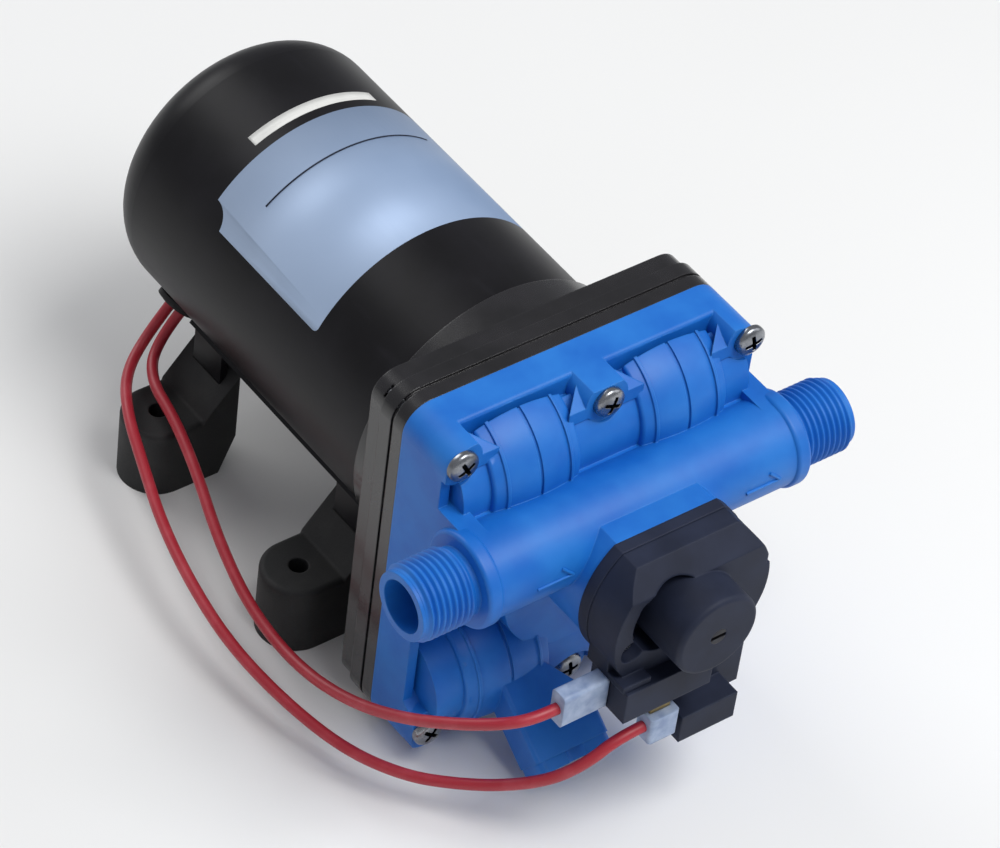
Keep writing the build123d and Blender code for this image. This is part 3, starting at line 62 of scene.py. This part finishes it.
def place_camera():
    """Puts the camera in the photograph's direction, at the pump's scale in the frame."""
    looking = Vector((-math.sin(view_azimuth) * math.cos(view_elevation),
                      math.cos(view_azimuth) * math.cos(view_elevation),
                      -math.sin(view_elevation)))
    level = looking.cross(Vector((0, 0, 1))).normalized()
    upright = level.cross(looking)
    right = level * math.cos(view_roll) + upright * math.sin(view_roll)
    up = upright * math.cos(view_roll) - level * math.sin(view_roll)
    data = bpy.data.cameras.new("camera")
    data.lens = view_lens
    camera = bpy.data.objects.new("camera", data)
    turn = Matrix((right, up, -looking)).transposed().to_4x4()
    camera.matrix_world = Matrix.Translation(view_target - looking * view_distance) @ turn
    bpy.context.scene.collection.objects.link(camera)
    bpy.context.scene.camera = camera


place_camera()


# Leads: the same routes as the CAD model's, in metres
lead_diameter = 3.2 * mm
switch_lead_points = [
    (-0.02839, 0.0498, 0.03848),
    (-0.03642, 0.0498, 0.02956),
    (-0.0440, 0.0400, 0.0280),
    (-0.0460, 0.0250, 0.0270),
    (-0.0505, 0.0070, 0.0245),
    (-0.0571, -0.0138, 0.0205),
    (-0.0619, -0.0367, 0.0170),
    (-0.0630, -0.0600, 0.0170),
    (-0.0625, -0.0820, 0.0240),
    (-0.0600, -0.1010, 0.0340),
    (-0.0555, -0.1170, 0.0445),
    (-0.0496, -0.1272, 0.0508),
    (-0.0429, -0.1315, 0.05315),
    (-0.0359, -0.1315, 0.05315),
]
supply_lead_points = [
    (-0.02839, 0.0542, 0.03848),
    (-0.03642, 0.0542, 0.02956),
    (-0.0480, 0.0465, 0.0265),
    (-0.0560, 0.0330, 0.0270),
    (-0.0606, 0.0180, 0.0235),
    (-0.0662, 0.0002, 0.0200),
    (-0.0707, -0.0208, 0.0180),
    (-0.0731, -0.0436, 0.0160),
    (-0.0705, -0.0655, 0.0130),
    (-0.0650, -0.0860, 0.0105),
    (-0.0565, -0.1010, 0.0100),
    (-0.0477, -0.1110, 0.0115),
    (-0.0400, -0.1210, 0.0160),
    (-0.0330, -0.1305, 0.0235),
    (-0.0270, -0.1362, 0.0320),
    (-0.0195, -0.1382, 0.0391),
    (-0.0117, -0.1382, 0.0391),
]


def make_lead(name, points):
    """One red lead as a smooth round cord in place of its CAD tube.

    The points' own radius gives the cord its thickness, so the bevel's depth is 1.
    """
    data = bpy.data.curves.new(name + "_insulation", "CURVE")
    data.dimensions = "3D"
    spline = data.splines.new("NURBS")
    spline.points.add(len(points) - 1)
    for control, place in zip(spline.points, points):
        control.co = (*place, 1)
        control.radius = lead_diameter / 2
    spline.order_u = 3
    spline.use_endpoint_u = True
    spline.resolution_u = 12
    data.bevel_depth = 1
    data.bevel_resolution = 5
    data.use_fill_caps = True
    cord = bpy.data.objects.new(name + "_insulation", data)
    bpy.context.scene.collection.objects.link(cord)
    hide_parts(name)
    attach(cord, "pump")
    return cord


switch_lead = make_lead("switch_lead", switch_lead_points)
supply_lead = make_lead("supply_lead", supply_lead_points)


def paint(red, green, blue):
    """A colour as it looks on a screen, from 0 to 255, turned into light for a shader."""
    shares = [level / 255 for level in (red, green, blue)]
    light = [share / 12.92 if share < 0.04045 else ((share + 0.055) / 1.055) ** 2.4
             for share in shares]
    return (*light, 1)


class Value:
    """An output of a material's node. Arithmetic on it adds Math nodes."""

    def __init__(self, finish, socket):
        self.finish = finish
        self.socket = socket

    def math(self, operation, *values):
        return self.finish.node("ShaderNodeMath", {"operation": operation}, dict(enumerate(values)))

    def __add__(self, other):
        return self.math("ADD", self, other)

    def __radd__(self, other):
        return self.math("ADD", other, self)

    def __sub__(self, other):
        return self.math("SUBTRACT", self, other)

    def __mul__(self, other):
        return self.math("MULTIPLY", self, other)


class Finish:
    """A material whose nodes are added one by one."""

    def __init__(self, name):
        self.material = bpy.data.materials.new(name)
        self.material.use_nodes = True
        self.tree = self.material.node_tree
        self.tree.nodes.clear()

    def node(self, kind, settings=None, sockets=None, output=0):
        """Adds a node, first its settings and then the values or links of its sockets."""
        node = self.tree.nodes.new(kind)
        for name, value in (settings or {}).items():
            setattr(node, name, value)
        for name, value in (sockets or {}).items():
            if isinstance(value, Value):
                self.tree.links.new(value.socket, node.inputs[name])
            else:
                node.inputs[name].default_value = value
        return Value(self, node.outputs[output]) if node.outputs else None

    def place(self, stretch=(1, 1, 1)):
        """Where a point of the surface lies in the frame, stretched along each direction."""
        place = self.node("ShaderNodeTexCoord", output="Object")
        return self.node("ShaderNodeVectorMath", {"operation": "MULTIPLY"}, {0: place, 1: stretch})

    def noise(self, grain, detail=2.0, stretch=(1, 1, 1)):
        """Soft blotches of about the given size, from 0 to 1."""
        return self.node("ShaderNodeTexNoise", {}, {
            "Vector": self.place(stretch), "Scale": 1 / grain, "Detail": detail})

    def spread(self, value, low, high, new_low=0.0, new_high=1.0):
        """A value's stretch from low to high, moved to another range and held inside it."""
        return self.node("ShaderNodeMapRange", {}, {
            0: value, 1: low, 2: high, 3: new_low, 4: new_high})

    def mix(self, mask, first, second):
        """The first colour where the mask is 0 and the second where it is 1."""
        return self.node("ShaderNodeMix", {"data_type": "RGBA"}, {
            0: mask, 6: first, 7: second}, output=2)

    def rounded(self, radius):
        """The surface's direction with its sharp edges softened."""
        return self.node("ShaderNodeBevel", {"samples": 6}, {"Radius": radius})

    def edges(self, softened):
        """Near 1 close to an edge and 0 elsewhere."""
        flat = self.node("ShaderNodeNewGeometry", output="Normal")
        same = self.node("ShaderNodeVectorMath", {"operation": "DOT_PRODUCT"}, {
            0: softened, 1: flat}, output="Value")
        return self.spread(same, 0.995, 0.8)

    def bumps(self, height, depth, under=None):
        """Small hills in the surface, as deep as given where the height goes from 0 to 1."""
        sockets = {"Strength": 1.0, "Distance": depth, "Height": height}
        if under:
            sockets["Normal"] = under
        return self.node("ShaderNodeBump", {}, sockets)

    def done(self, **sockets):
        """Closes the material with one shader. Names have underlines in place of spaces."""
        shader = self.node("ShaderNodeBsdfPrincipled", {}, {
            name.replace("_", " "): value for name, value in sockets.items()})
        self.node("ShaderNodeOutputMaterial", {}, {"Surface": shader})
        return self.material


def moulded(name, colour, lighter, roughness, grain_depth=3e-6, edge_radius=0.45 * mm, **sockets):
    """Moulded plastic: faint flow blotches, fine grain and edges lightened in the colour as a painted
    highlight.
    """
    finish = Finish(name)
    soft = finish.rounded(edge_radius)
    blotches = finish.noise(14 * mm, 3.0)
    grain = finish.noise(0.28 * mm, 2.0)
    # Painted highlight: the colour goes lighter along edges, in patches.
    edge_highlight = finish.edges(soft) * finish.spread(finish.noise(2.5 * mm, 4.0), 0.3, 0.7, 0.35, 1.0)
    tone = finish.mix(finish.spread(blotches, 0.35, 0.65, 0.0, 0.3), colour, lighter)
    return finish.done(
        Base_Color=finish.mix(edge_highlight * 0.55, tone, lighter),
        Roughness=roughness + blotches * 0.08 + grain * 0.05 - 0.06,
        Normal=finish.bumps(grain, grain_depth, soft),
        **sockets)


def blue_moulding():
    """The blue of the head: a clean satin moulding."""
    return moulded("blue moulding", paint(12, 98, 188), paint(50, 142, 222), 0.47, 4e-6,
                   Coat_Weight=0.05, Coat_Roughness=0.25, Specular_IOR_Level=0.38)


def glossy_black():
    """The black of the drive housing, which mirrors what is round it."""
    return moulded("glossy black moulding", paint(12, 11, 13), paint(48, 46, 50), 0.26, 1.5e-6,
                   Coat_Weight=0.25, Coat_Roughness=0.12)


def matt_black():
    """The black of the pressure switch: grained and faintly blue."""
    return moulded("matt black moulding", paint(22, 28, 46), paint(50, 58, 82), 0.6, 9e-6,
                   0.7 * mm, Specular_IOR_Level=0.28)


def white_moulding():
    """The off-white plastic of the inner works."""
    return moulded("white moulding", paint(214, 212, 204), paint(236, 235, 230), 0.42)


def red_moulding():
    """The small button of the microswitch."""
    return moulded("red moulding", paint(168, 30, 34), paint(206, 80, 80), 0.4)


def can_paint():
    """The satin black coating of the motor, with a faint orange peel and rubbed streaks."""
    finish = Finish("satin black coating")
    peel = finish.noise(1.1 * mm, 2.0)
    dust = finish.noise(22 * mm, 5.0)
    streaks = finish.noise(3 * mm, 4.0, (1, 0.12, 1))
    scuffed = finish.spread(streaks, 0.6, 0.8, 0.0, 0.35)
    tone = finish.mix(finish.spread(dust, 0.4, 0.7), paint(13, 12, 15), paint(22, 21, 25))
    return finish.done(
        Base_Color=finish.mix(scuffed, tone, paint(34, 33, 38)),
        Roughness=0.34 + dust * 0.12 + scuffed * 0.1,
        Normal=finish.bumps(peel, 6e-6),
        Specular_IOR_Level=0.22)


def black_rubber():
    """Rubber of the feet and seals: dull, pitted and slightly dusty."""
    finish = Finish("black rubber")
    soft = finish.rounded(0.7 * mm)
    pits = finish.noise(0.5 * mm, 4.0)
    dust = finish.spread(finish.noise(9 * mm, 5.0), 0.45, 0.8, 0.0, 0.6)
    # The colour goes lighter near edges.
    lighter_mask = finish.edges(soft) * 0.4
    tone = finish.mix(dust, paint(26, 26, 27), paint(48, 47, 46))
    return finish.done(
        Base_Color=finish.mix(lighter_mask, tone, paint(66, 65, 64)),
        Roughness=0.62 + pits * 0.2,
        Normal=finish.bumps(pits, 25e-6, soft))


def metal(name, colour, darker, roughness, grain=0.6 * mm, shine=1.0):
    """Bare metal with fine tool marks and a few duller patches."""
    finish = Finish(name)
    soft = finish.rounded(0.2 * mm)
    marks = finish.noise(grain, 4.0)
    dull = finish.spread(finish.noise(4 * mm, 4.0), 0.45, 0.7)
    return finish.done(
        Base_Color=finish.mix(dull * 0.5 + marks * 0.2, colour, darker),
        Metallic=shine,
        Roughness=roughness + marks * 0.1 + dull * 0.1,
        Normal=finish.bumps(marks, 4e-6, soft))


# Blender's wave texture multiplies each place by 20, so bands lie 2 pi times these apart
wave_factor = 20
plate_wave = 0.5 * mm
wire_wave = 0.9 * mm


def plates_of_the_core():
    """The armature's stack of thin plates, seen as fine rings along the motor."""
    finish = Finish("stacked plates")
    rings = finish.node("ShaderNodeTexWave", {"bands_direction": "Y"}, {
        "Vector": finish.place(), "Scale": 1 / (wave_factor * plate_wave),
        "Distortion": 0.0}, output="Fac")
    stain = finish.spread(finish.noise(5 * mm, 4.0), 0.4, 0.7)
    return finish.done(
        Base_Color=finish.mix(stain * 0.4 + rings * 0.4, paint(152, 152, 156), paint(92, 90, 90)),
        Metallic=0.9,
        Roughness=0.42 + stain * 0.15,
        Normal=finish.bumps(rings, 0.05 * mm))


def enamelled_copper():
    """Copper wire in its varnish, with the turns side by side."""
    finish = Finish("enamelled copper")
    turns = finish.node("ShaderNodeTexWave", {"wave_type": "RINGS", "rings_direction": "Y"}, {
        "Vector": finish.place(), "Scale": 1 / (wave_factor * wire_wave),
        "Distortion": 1.5, "Detail": 2.0}, output="Fac")
    varnish = finish.noise(3 * mm, 3.0)
    return finish.done(
        Base_Color=finish.mix(turns, paint(96, 42, 20), paint(196, 104, 58)),
        Metallic=0.85,
        Roughness=0.24 + varnish * 0.2,
        Normal=finish.bumps(turns, 0.12 * mm))


def lead_insulation():
    """Soft red insulation with faint scuffs."""
    finish = Finish("red insulation")
    ripple = finish.noise(2.2 * mm, 3.0)
    lighter_mask = finish.spread(finish.noise(7 * mm, 5.0), 0.5, 0.75, 0.0, 0.5)
    return finish.done(
        Base_Color=finish.mix(lighter_mask, paint(168, 38, 52), paint(190, 74, 84)),
        Roughness=0.36 + ripple * 0.16,
        Normal=finish.bumps(ripple, 15e-6))


def milky_sleeve():
    """The cloudy insulating sleeves, which let a little of the metal show through."""
    finish = Finish("milky sleeve")
    soft = finish.rounded(0.8 * mm)
    cloud = finish.noise(3.5 * mm, 3.0)
    edge = finish.edges(soft)
    return finish.done(
        Base_Color=finish.mix(finish.spread(cloud, 0.3, 0.7), paint(134, 154, 190),
                              paint(176, 192, 218)),
        Roughness=0.3 + cloud * 0.15,
        Alpha=finish.spread(edge, 0.0, 1.0, 0.86, 0.97),
        Normal=finish.bumps(cloud, 10e-6, soft),
        Subsurface_Weight=0.15, Subsurface_Radius=(1 * mm, 1 * mm, 1.2 * mm))


def label_film():
    """The silver film of the motor's label, left bare: bluer and darker towards the right as painted
    shade across the can, with painted sheen in soft blotches.
    """
    finish = Finish("silver film")
    brushed = finish.noise(0.25 * mm, 3.0, (1, 0.02, 1))
    across = finish.node("ShaderNodeSeparateXYZ", {}, {"Vector": finish.place()}, output="X")
    # Painted sheen: soft blotches that shift the film's colour.
    sheen = finish.noise(18 * mm, 2.0) * 0.3
    # Painted shade: the film's colour darkens towards the right of the can.
    right = finish.spread(across, -34 * mm, 26 * mm, 0.0, 0.85) + sheen
    return finish.done(
        Base_Color=finish.mix(right, paint(170, 189, 216), paint(128, 150, 182)),
        Metallic=0.2,
        Roughness=0.42 + brushed * 0.14,
        Normal=finish.bumps(brushed, 3e-6))


def strip_film():
    """The thin white strip behind the label."""
    finish = Finish("white film")
    sheen = finish.noise(6 * mm, 3.0)
    return finish.done(
        Base_Color=finish.mix(sheen, paint(208, 208, 204), paint(226, 226, 222)),
        Roughness=0.4 + sheen * 0.1,
        Normal=finish.bumps(sheen, 8e-6))


steel_bright = metal("bright zinc", paint(152, 155, 160), paint(76, 78, 84), 0.22)
recess_shadow = metal("shaded recess", paint(34, 35, 38), paint(20, 20, 22), 0.45)
blackened = metal("blackened steel", paint(64, 64, 68), paint(38, 38, 41), 0.36)
finishes = {
    "blue_plastic": blue_moulding(),
    "white_plastic": white_moulding(),
    "black_plastic": matt_black(),
    "black_paint": can_paint(),
    "bright_steel": steel_bright,
    "bearing_steel": metal("ground steel", paint(200, 201, 204), paint(160, 160, 164), 0.22),
    "sintered_steel": metal("sintered steel", paint(128, 127, 126), paint(86, 84, 82), 0.46),
    "spring_steel": metal("spring steel", paint(168, 168, 172), paint(110, 110, 114), 0.3),
    "diecast": metal("die-cast alloy", paint(178, 180, 182), paint(140, 141, 143), 0.4, grain=1.5 * mm),
    "laminations": plates_of_the_core(),
    "copper": enamelled_copper(),
    "carbon": metal("pressed carbon", paint(46, 46, 48), paint(28, 28, 29), 0.5, shine=0.4),
    "ferrite": metal("pressed ferrite", paint(62, 62, 66), paint(40, 40, 42), 0.52, shine=0.3),
    "bronze": metal("sintered bronze", paint(178, 132, 78), paint(124, 88, 50), 0.42),
    "brass": metal("bright brass", paint(212, 186, 128), paint(168, 136, 80), 0.26),
    "rubber": black_rubber(),
    "red_button": red_moulding(),
    "milky_sleeve": milky_sleeve(),
    "red_lead": lead_insulation(),
}


def dress_nodes():
    """Gives every CAD node the finish of its slot, or one of its own where its surface differs."""
    for subpart in frame["record"]["subparts"]:
        node = nodes[subpart["node"]]
        for slot in node.material_slots:
            slot.material = finishes[subpart["material_slot"]]
    own = {"drive_housing": glossy_black(), "brush_holder": glossy_black(),
           "pressure_adjuster": blackened}
    for name, material in own.items():
        for slot in nodes[name].material_slots:
            slot.material = material


dress_nodes()
for lead in (switch_lead, supply_lead):
    lead.data.materials.append(finishes["red_lead"])


def skin(mesh, rings, open_start=False, open_end=False):
    """Joins rings with the same number of points into one surface, closed at its ends."""
    rows = [[mesh.verts.new(point) for point in ring] for ring in rings]
    for lower, upper in zip(rows, rows[1:]):
        for low, next_low, next_up, up in zip(lower, lower[1:] + lower[:1],
                                              upper[1:] + upper[:1], upper):
            mesh.faces.new((low, next_low, next_up, up))
    if not open_start:
        mesh.faces.new(rows[0][::-1])
    if not open_end:
        mesh.faces.new(rows[-1])
    return [vertex for row in rows for vertex in row]


def add_piece(name, mesh, slot, finish=None, second=None, sharpest=35):
    """Makes one piece of a mesh, smooth but for its sharp edges, that rides on the pump's body."""
    bmesh.ops.recalc_face_normals(mesh, faces=mesh.faces)
    for face in mesh.faces:
        face.smooth = True
    for edge in mesh.edges:
        edge.smooth = edge.calc_face_angle(0) < math.radians(sharpest)
    data = bpy.data.meshes.new(name)
    mesh.to_mesh(data)
    mesh.free()
    data.materials.append(finish or finishes[slot])
    if second:
        data.materials.append(second)
    piece = bpy.data.objects.new(name, data)
    bpy.context.scene.collection.objects.link(piece)
    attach(piece, "pump")
    return piece


# Screws: pan heads with a cross recess, in place of the plain ones.
# A size is the head's radius, the head's height, the shank's radius and the shank's length.
head_screw_size = (4.4 * mm, 2.8 * mm, 2.4 * mm, 29.5 * mm)
head_screw_rows = (41 * mm, -55.5 * mm)
head_screw_columns = (-45 * mm, 0, 45 * mm)
switch_screw_size = (3.0 * mm, 2.0 * mm, 1.6 * mm, 15 * mm)
switch_middle = shaft_height + 4 * mm
bypass_screw_size = (2.7 * mm, 1.8 * mm, 1.5 * mm, 10 * mm)
bypass_screw_side = 7.6 * mm
bypass_slope = math.radians(36)
bypass_end = Vector((-15.1 * mm, joint_y - 43 * mm, shaft_height - 56.5 * mm))
bypass_seat_depth, bypass_seat_inward = 3.2 * mm, 5.5 * mm
recess_reach_share = 0.58
recess_half_width_share = 0.13
recess_depth_share = 0.62
head_side_share = 0.42
dome_fullness = 2.4
dome_shares = (1, 0.985, 0.95, 0.9, 0.83, 0.75, 0.67, 0.6)
shank_tip_share = 0.6
screw_points = 72


def screw(mesh, seat, forward, spin, head_radius, head_height, shank_radius, shank_length):
    """One screw with its head's underside at the seat."""
    turns = [2 * math.pi * step / screw_points for step in range(screw_points)]

    def circle(radius, height):
        return [(radius * math.cos(turn), radius * math.sin(turn), height) for turn in turns]

    def dome(radius):
        rise = math.sqrt(max(0, 1 - (radius / head_radius) ** dome_fullness))
        return head_height * (head_side_share + (1 - head_side_share) * rise)

    def cross(shrink, sunk):
        points = []
        for turn in turns:
            folded = (turn + math.pi / 4) % (math.pi / 2) - math.pi / 4
            reach = head_radius * min(recess_reach_share / math.cos(folded),
                                      recess_half_width_share / max(abs(math.sin(folded)), 0.01))
            points.append((shrink * reach * math.cos(turn), shrink * reach * math.sin(turn),
                           dome(reach) - sunk))
        return points

    rings = [circle(shank_radius * shank_tip_share, -shank_length),
             circle(shank_radius, shank_radius - shank_length),
             circle(shank_radius, 0),
             circle(head_radius * 0.97, 0),
             circle(head_radius, head_height * 0.08)]
    rings += [circle(head_radius * share, dome(head_radius * share)) for share in dome_shares]
    rings += [cross(1.06, 0), cross(1, head_height * 0.05),
              cross(0.86, head_height * recess_depth_share),
              circle(head_radius * 0.05, head_height * (0.9 - recess_depth_share))]
    added = skin(mesh, rings)
    recess = set(added[-3 * screw_points:])
    for face in {face for vertex in recess for face in vertex.link_faces}:
        if recess.issuperset(face.verts):
            face.material_index = 1
    turn = forward.to_track_quat("Z", "Y").to_matrix().to_4x4() @ Matrix.Rotation(spin, 4, "Z")
    bmesh.ops.transform(mesh, matrix=Matrix.Translation(seat) @ turn, verts=added)


def add_screws(node, mesh):
    """Makes one piece of several screws, in place of their CAD node."""
    piece = add_piece(node + "_crossed", mesh, "bright_steel", second=recess_shadow)
    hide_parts(node)


def head_screws():
    """Six screws that clamp the two housings: three along the top and three below."""
    mesh = bmesh.new()
    spins = (0.5, 1.2, 0.2, 0.9, 0.1, 0.7)
    places = [(x, z) for z in head_screw_rows for x in head_screw_columns]
    for spin, (x, above) in zip(spins, places):
        seat = Vector((x, screw_seat_y, shaft_height + above))
        screw(mesh, seat, Vector((0, -1, 0)), spin, *head_screw_size)
    add_screws("head_screws", mesh)


def switch_screws():
    """The switch's screws: one deep in the moat and two near the edge.

    Each has its turn, its angle and distance from the switch's middle, and its seat's depth.
    """
    mesh = bmesh.new()
    places = ((0.3, 152, 16.3 * mm, 53 * mm), (0.8, 196, 19 * mm, 57 * mm),
              (0.1, 304, 19 * mm, 57 * mm))
    for spin, angle, from_middle, forward in places:
        turn = math.radians(angle)
        seat = Vector((from_middle * math.cos(turn), joint_y - forward,
                       switch_middle + from_middle * math.sin(turn)))
        screw(mesh, seat, Vector((0, -1, 0)), spin, *switch_screw_size)
    add_screws("switch_screws", mesh)


def bypass_screws():
    """Two small screws in the low end of the bypass block, along its slant."""
    mesh = bmesh.new()
    along = Vector((0, -math.cos(bypass_slope), -math.sin(bypass_slope)))
    inward = Vector((0, math.sin(bypass_slope), -math.cos(bypass_slope)))
    middle = bypass_end + along * bypass_seat_depth + inward * bypass_seat_inward
    for spin, side in ((0.4, -1), (1.0, 1)):
        seat = middle + Vector((side * bypass_screw_side, 0, 0))
        screw(mesh, seat, along, spin, *bypass_screw_size)
    add_screws("bypass_screws", mesh)


head_screws()
switch_screws()
bypass_screws()


# Pipe threads on the two necks, 14 to the inch
thread_pitch = 25.4 / 14 * mm
thread_root = 9.32 * mm
thread_crest = 10.45 * mm
neck_start, neck_end = 52.3 * mm, 67.4 * mm
thread_lift = 0.03 * mm
thread_skirt = 0.6 * mm
thread_end_fade = 1.4
thread_rows, thread_points = 128, 96


def port_thread(name, side):
    """A round-topped helical thread that covers one neck and fades out at both ends."""
    mesh = bmesh.new()
    rings = []
    for row in range(thread_rows + 1):
        x = neck_start + (neck_end - neck_start) * row / thread_rows
        fade = min(1, (x - neck_start) / thread_pitch,
                   thread_end_fade * (neck_end - x) / thread_pitch)
        ring = []
        for point in range(thread_points):
            turn = 2 * math.pi * point / thread_points
            phase = (x / thread_pitch - side * turn / (2 * math.pi)) % 1
            ridge = 1 - abs(2 * phase - 1)
            crest = ridge * ridge * (3 - 2 * ridge)
            radius = thread_root + thread_lift + (thread_crest - thread_root) * crest * fade
            ring.append((side * x, port_axis[0] - radius * math.cos(turn),
                         port_axis[1] + radius * math.sin(turn)))
        rings.append(ring)
    inner = thread_root - thread_skirt
    for place, x in ((0, neck_start), (thread_rows + 2, neck_end)):
        rings.insert(place, [
            (side * x, port_axis[0] - inner * math.cos(2 * math.pi * point / thread_points),
             port_axis[1] + inner * math.sin(2 * math.pi * point / thread_points))
            for point in range(thread_points)])
    skin(mesh, rings, open_start=True, open_end=True)
    add_piece(name, mesh, "blue_plastic", sharpest=60)


port_thread("inlet_thread", -1)
port_thread("outlet_thread", 1)


# Label and strip on the motor, both bare
can_radius = 40.2 * mm
film_lift = 0.03 * mm
film_thickness = 0.12 * mm
slice_angle = math.radians(3)


def arc(centre, radius, start, end, steps=6):
    """Points of a round corner, in degrees from start to end."""
    turns = [math.radians(start + (end - start) * step / steps) for step in range(steps + 1)]
    return [(centre[0] + radius * math.cos(turn), centre[1] + radius * math.sin(turn))
            for turn in turns]


def wrapped_film(name, outline, slot, finish, lift=film_lift):
    """A thin film on the can. The outline runs round the can and then along it."""
    mesh = bmesh.new()
    mesh.faces.new([mesh.verts.new((round_can, along, 0)) for round_can, along in outline])
    slice_width = can_radius * slice_angle
    lowest = min(point[0] for point in outline)
    highest = max(point[0] for point in outline)
    for step in range(1, int((highest - lowest) / slice_width) + 1):
        bmesh.ops.bisect_plane(mesh, geom=mesh.verts[:] + mesh.edges[:] + mesh.faces[:],
                               plane_co=(lowest + slice_width * step, 0, 0),
                               plane_no=(1, 0, 0))
    for vertex in mesh.verts:
        turn = vertex.co.x / can_radius
        radius = can_radius + lift
        vertex.co = (radius * math.cos(turn), vertex.co.y, shaft_height + radius * math.sin(turn))
    piece = add_piece(name, mesh, slot, finish=finish)
    solid = piece.modifiers.new("thickness", "SOLIDIFY")
    solid.thickness = film_thickness
    solid.offset = 1
    return piece


def motor_label():
    """The silver label over the top of the motor, with a bite out of its back left corner."""
    left = can_radius * math.radians(151)
    right = can_radius * math.radians(40)
    front, back = -19 * mm, 32 * mm
    corner, bite = 1.5 * mm, 6 * mm
    outline = arc((left - corner, front + corner), corner, 0, -90)
    outline += arc((right + corner, front + corner), corner, 270, 180)
    outline += arc((right + corner, back - corner), corner, 180, 90)
    outline += arc((left, back), bite, 180, 270, 10)
    wrapped_film("motor_label", outline, "bright_steel", label_film())
    rule_left, rule_right = left - 14 * mm, right + 8 * mm
    rule_front, rule_back = 18 * mm, 18.45 * mm
    line = [(rule_left, rule_front), (rule_right, rule_front),
            (rule_right, rule_back), (rule_left, rule_back)]
    wrapped_film("label_rule", line, "black_paint", finishes["black_plastic"],
                 film_lift + film_thickness)


def motor_strip():
    """The thin white strip between the label and the motor's tail."""
    start, end = can_radius * math.radians(118), can_radius * math.radians(60)
    front, back = 35 * mm, 38.6 * mm
    outline = [(start, front), (end, front), (end, back), (start, back)]
    wrapped_film("motor_strip", outline, "white_plastic", strip_film())


motor_label()
motor_strip()


# Raised marks on the cross tube that show which way the water goes
tube_radius = 12.5 * mm
mark_width, mark_height = 0.9 * mm, 0.5 * mm
mark_root = -0.3 * mm
mark_steps = 6
mark_top_share = 0.6


def raised_mark(name, corners):
    """A low ridge on the tube through corners given along the ports and round the tube."""
    mesh = bmesh.new()

    def on_tube(x, angle, lift):
        turn = math.radians(angle)
        return Vector((x, port_axis[0] - (tube_radius + lift) * math.cos(turn),
                       port_axis[1] + (tube_radius + lift) * math.sin(turn)))

    for (x0, angle0), (x1, angle1) in zip(corners, corners[1:]):
        rings = []
        run = (on_tube(x1, angle1, 0) - on_tube(x0, angle0, 0)).normalized()
        for step in range(mark_steps + 1):
            share = step / mark_steps
            x, angle = x0 + (x1 - x0) * share, angle0 + (angle1 - angle0) * share
            low, high = on_tube(x, angle, mark_root), on_tube(x, angle, mark_height)
            across = run.cross(high - low).normalized() * mark_width / 2
            top = across * mark_top_share
            rings.append([low - across, low + across, high + top, high - top])
        skin(mesh, rings)
    add_piece(name, mesh, "blue_plastic")


raised_mark("inlet_arrow", [(-36 * mm, 0), (-25 * mm, 0), (-28.5 * mm, 15)])
raised_mark("outlet_arrow", [(30 * mm, 0), (41 * mm, 0), (37.5 * mm, 15)])


# Studio
floor_reach = 6.0
sky_colour = (0.92, 0.94, 1.0, 1)
sky_strength = 0.36


def pale_floor():
    """A plain pale floor that keeps the pump's shadow."""
    finish = Finish("pale floor")
    mottle = finish.noise(0.3, 2.0)
    tone = finish.mix(mottle, paint(232, 232, 230), paint(238, 238, 237))
    material = finish.done(Base_Color=tone, Roughness=0.75 + mottle * 0.1)
    mesh = bmesh.new()
    mesh.faces.new([mesh.verts.new((x * floor_reach, y * floor_reach, 0)) for x, y in
                    ((-1, -1), (1, -1), (1, 1), (-1, 1))])
    data = bpy.data.meshes.new("floor")
    mesh.to_mesh(data)
    mesh.free()
    data.materials.append(material)
    floor = bpy.data.objects.new("floor", data)
    bpy.context.scene.collection.objects.link(floor)


def soft_lamp(name, place, size, power):
    """A square lamp that shines at the pump."""
    data = bpy.data.lights.new(name, "AREA")
    data.size = size
    data.energy = power
    lamp = bpy.data.objects.new(name, data)
    aim = (view_target - Vector(place)).to_track_quat("-Z", "Y").to_matrix().to_4x4()
    lamp.matrix_world = Matrix.Translation(place) @ aim
    bpy.context.scene.collection.objects.link(lamp)


def studio():
    """Soft light from above, from the right and from behind, and a pale sky all round."""
    pale_floor()
    soft_lamp("key", (0.2, -0.6, 1.15), 0.7, 12)
    soft_lamp("fill", (1.1, -0.6, 0.7), 0.9, 3)
    soft_lamp("back", (-0.2, 1.1, 0.9), 0.7, 6)
    world = bpy.data.worlds.new("studio")
    world.use_nodes = True
    background = world.node_tree.nodes["Background"]
    background.inputs["Color"].default_value = sky_colour
    background.inputs["Strength"].default_value = sky_strength
    bpy.context.scene.world = world
    bpy.context.scene.view_settings.view_transform = "Standard"


studio()
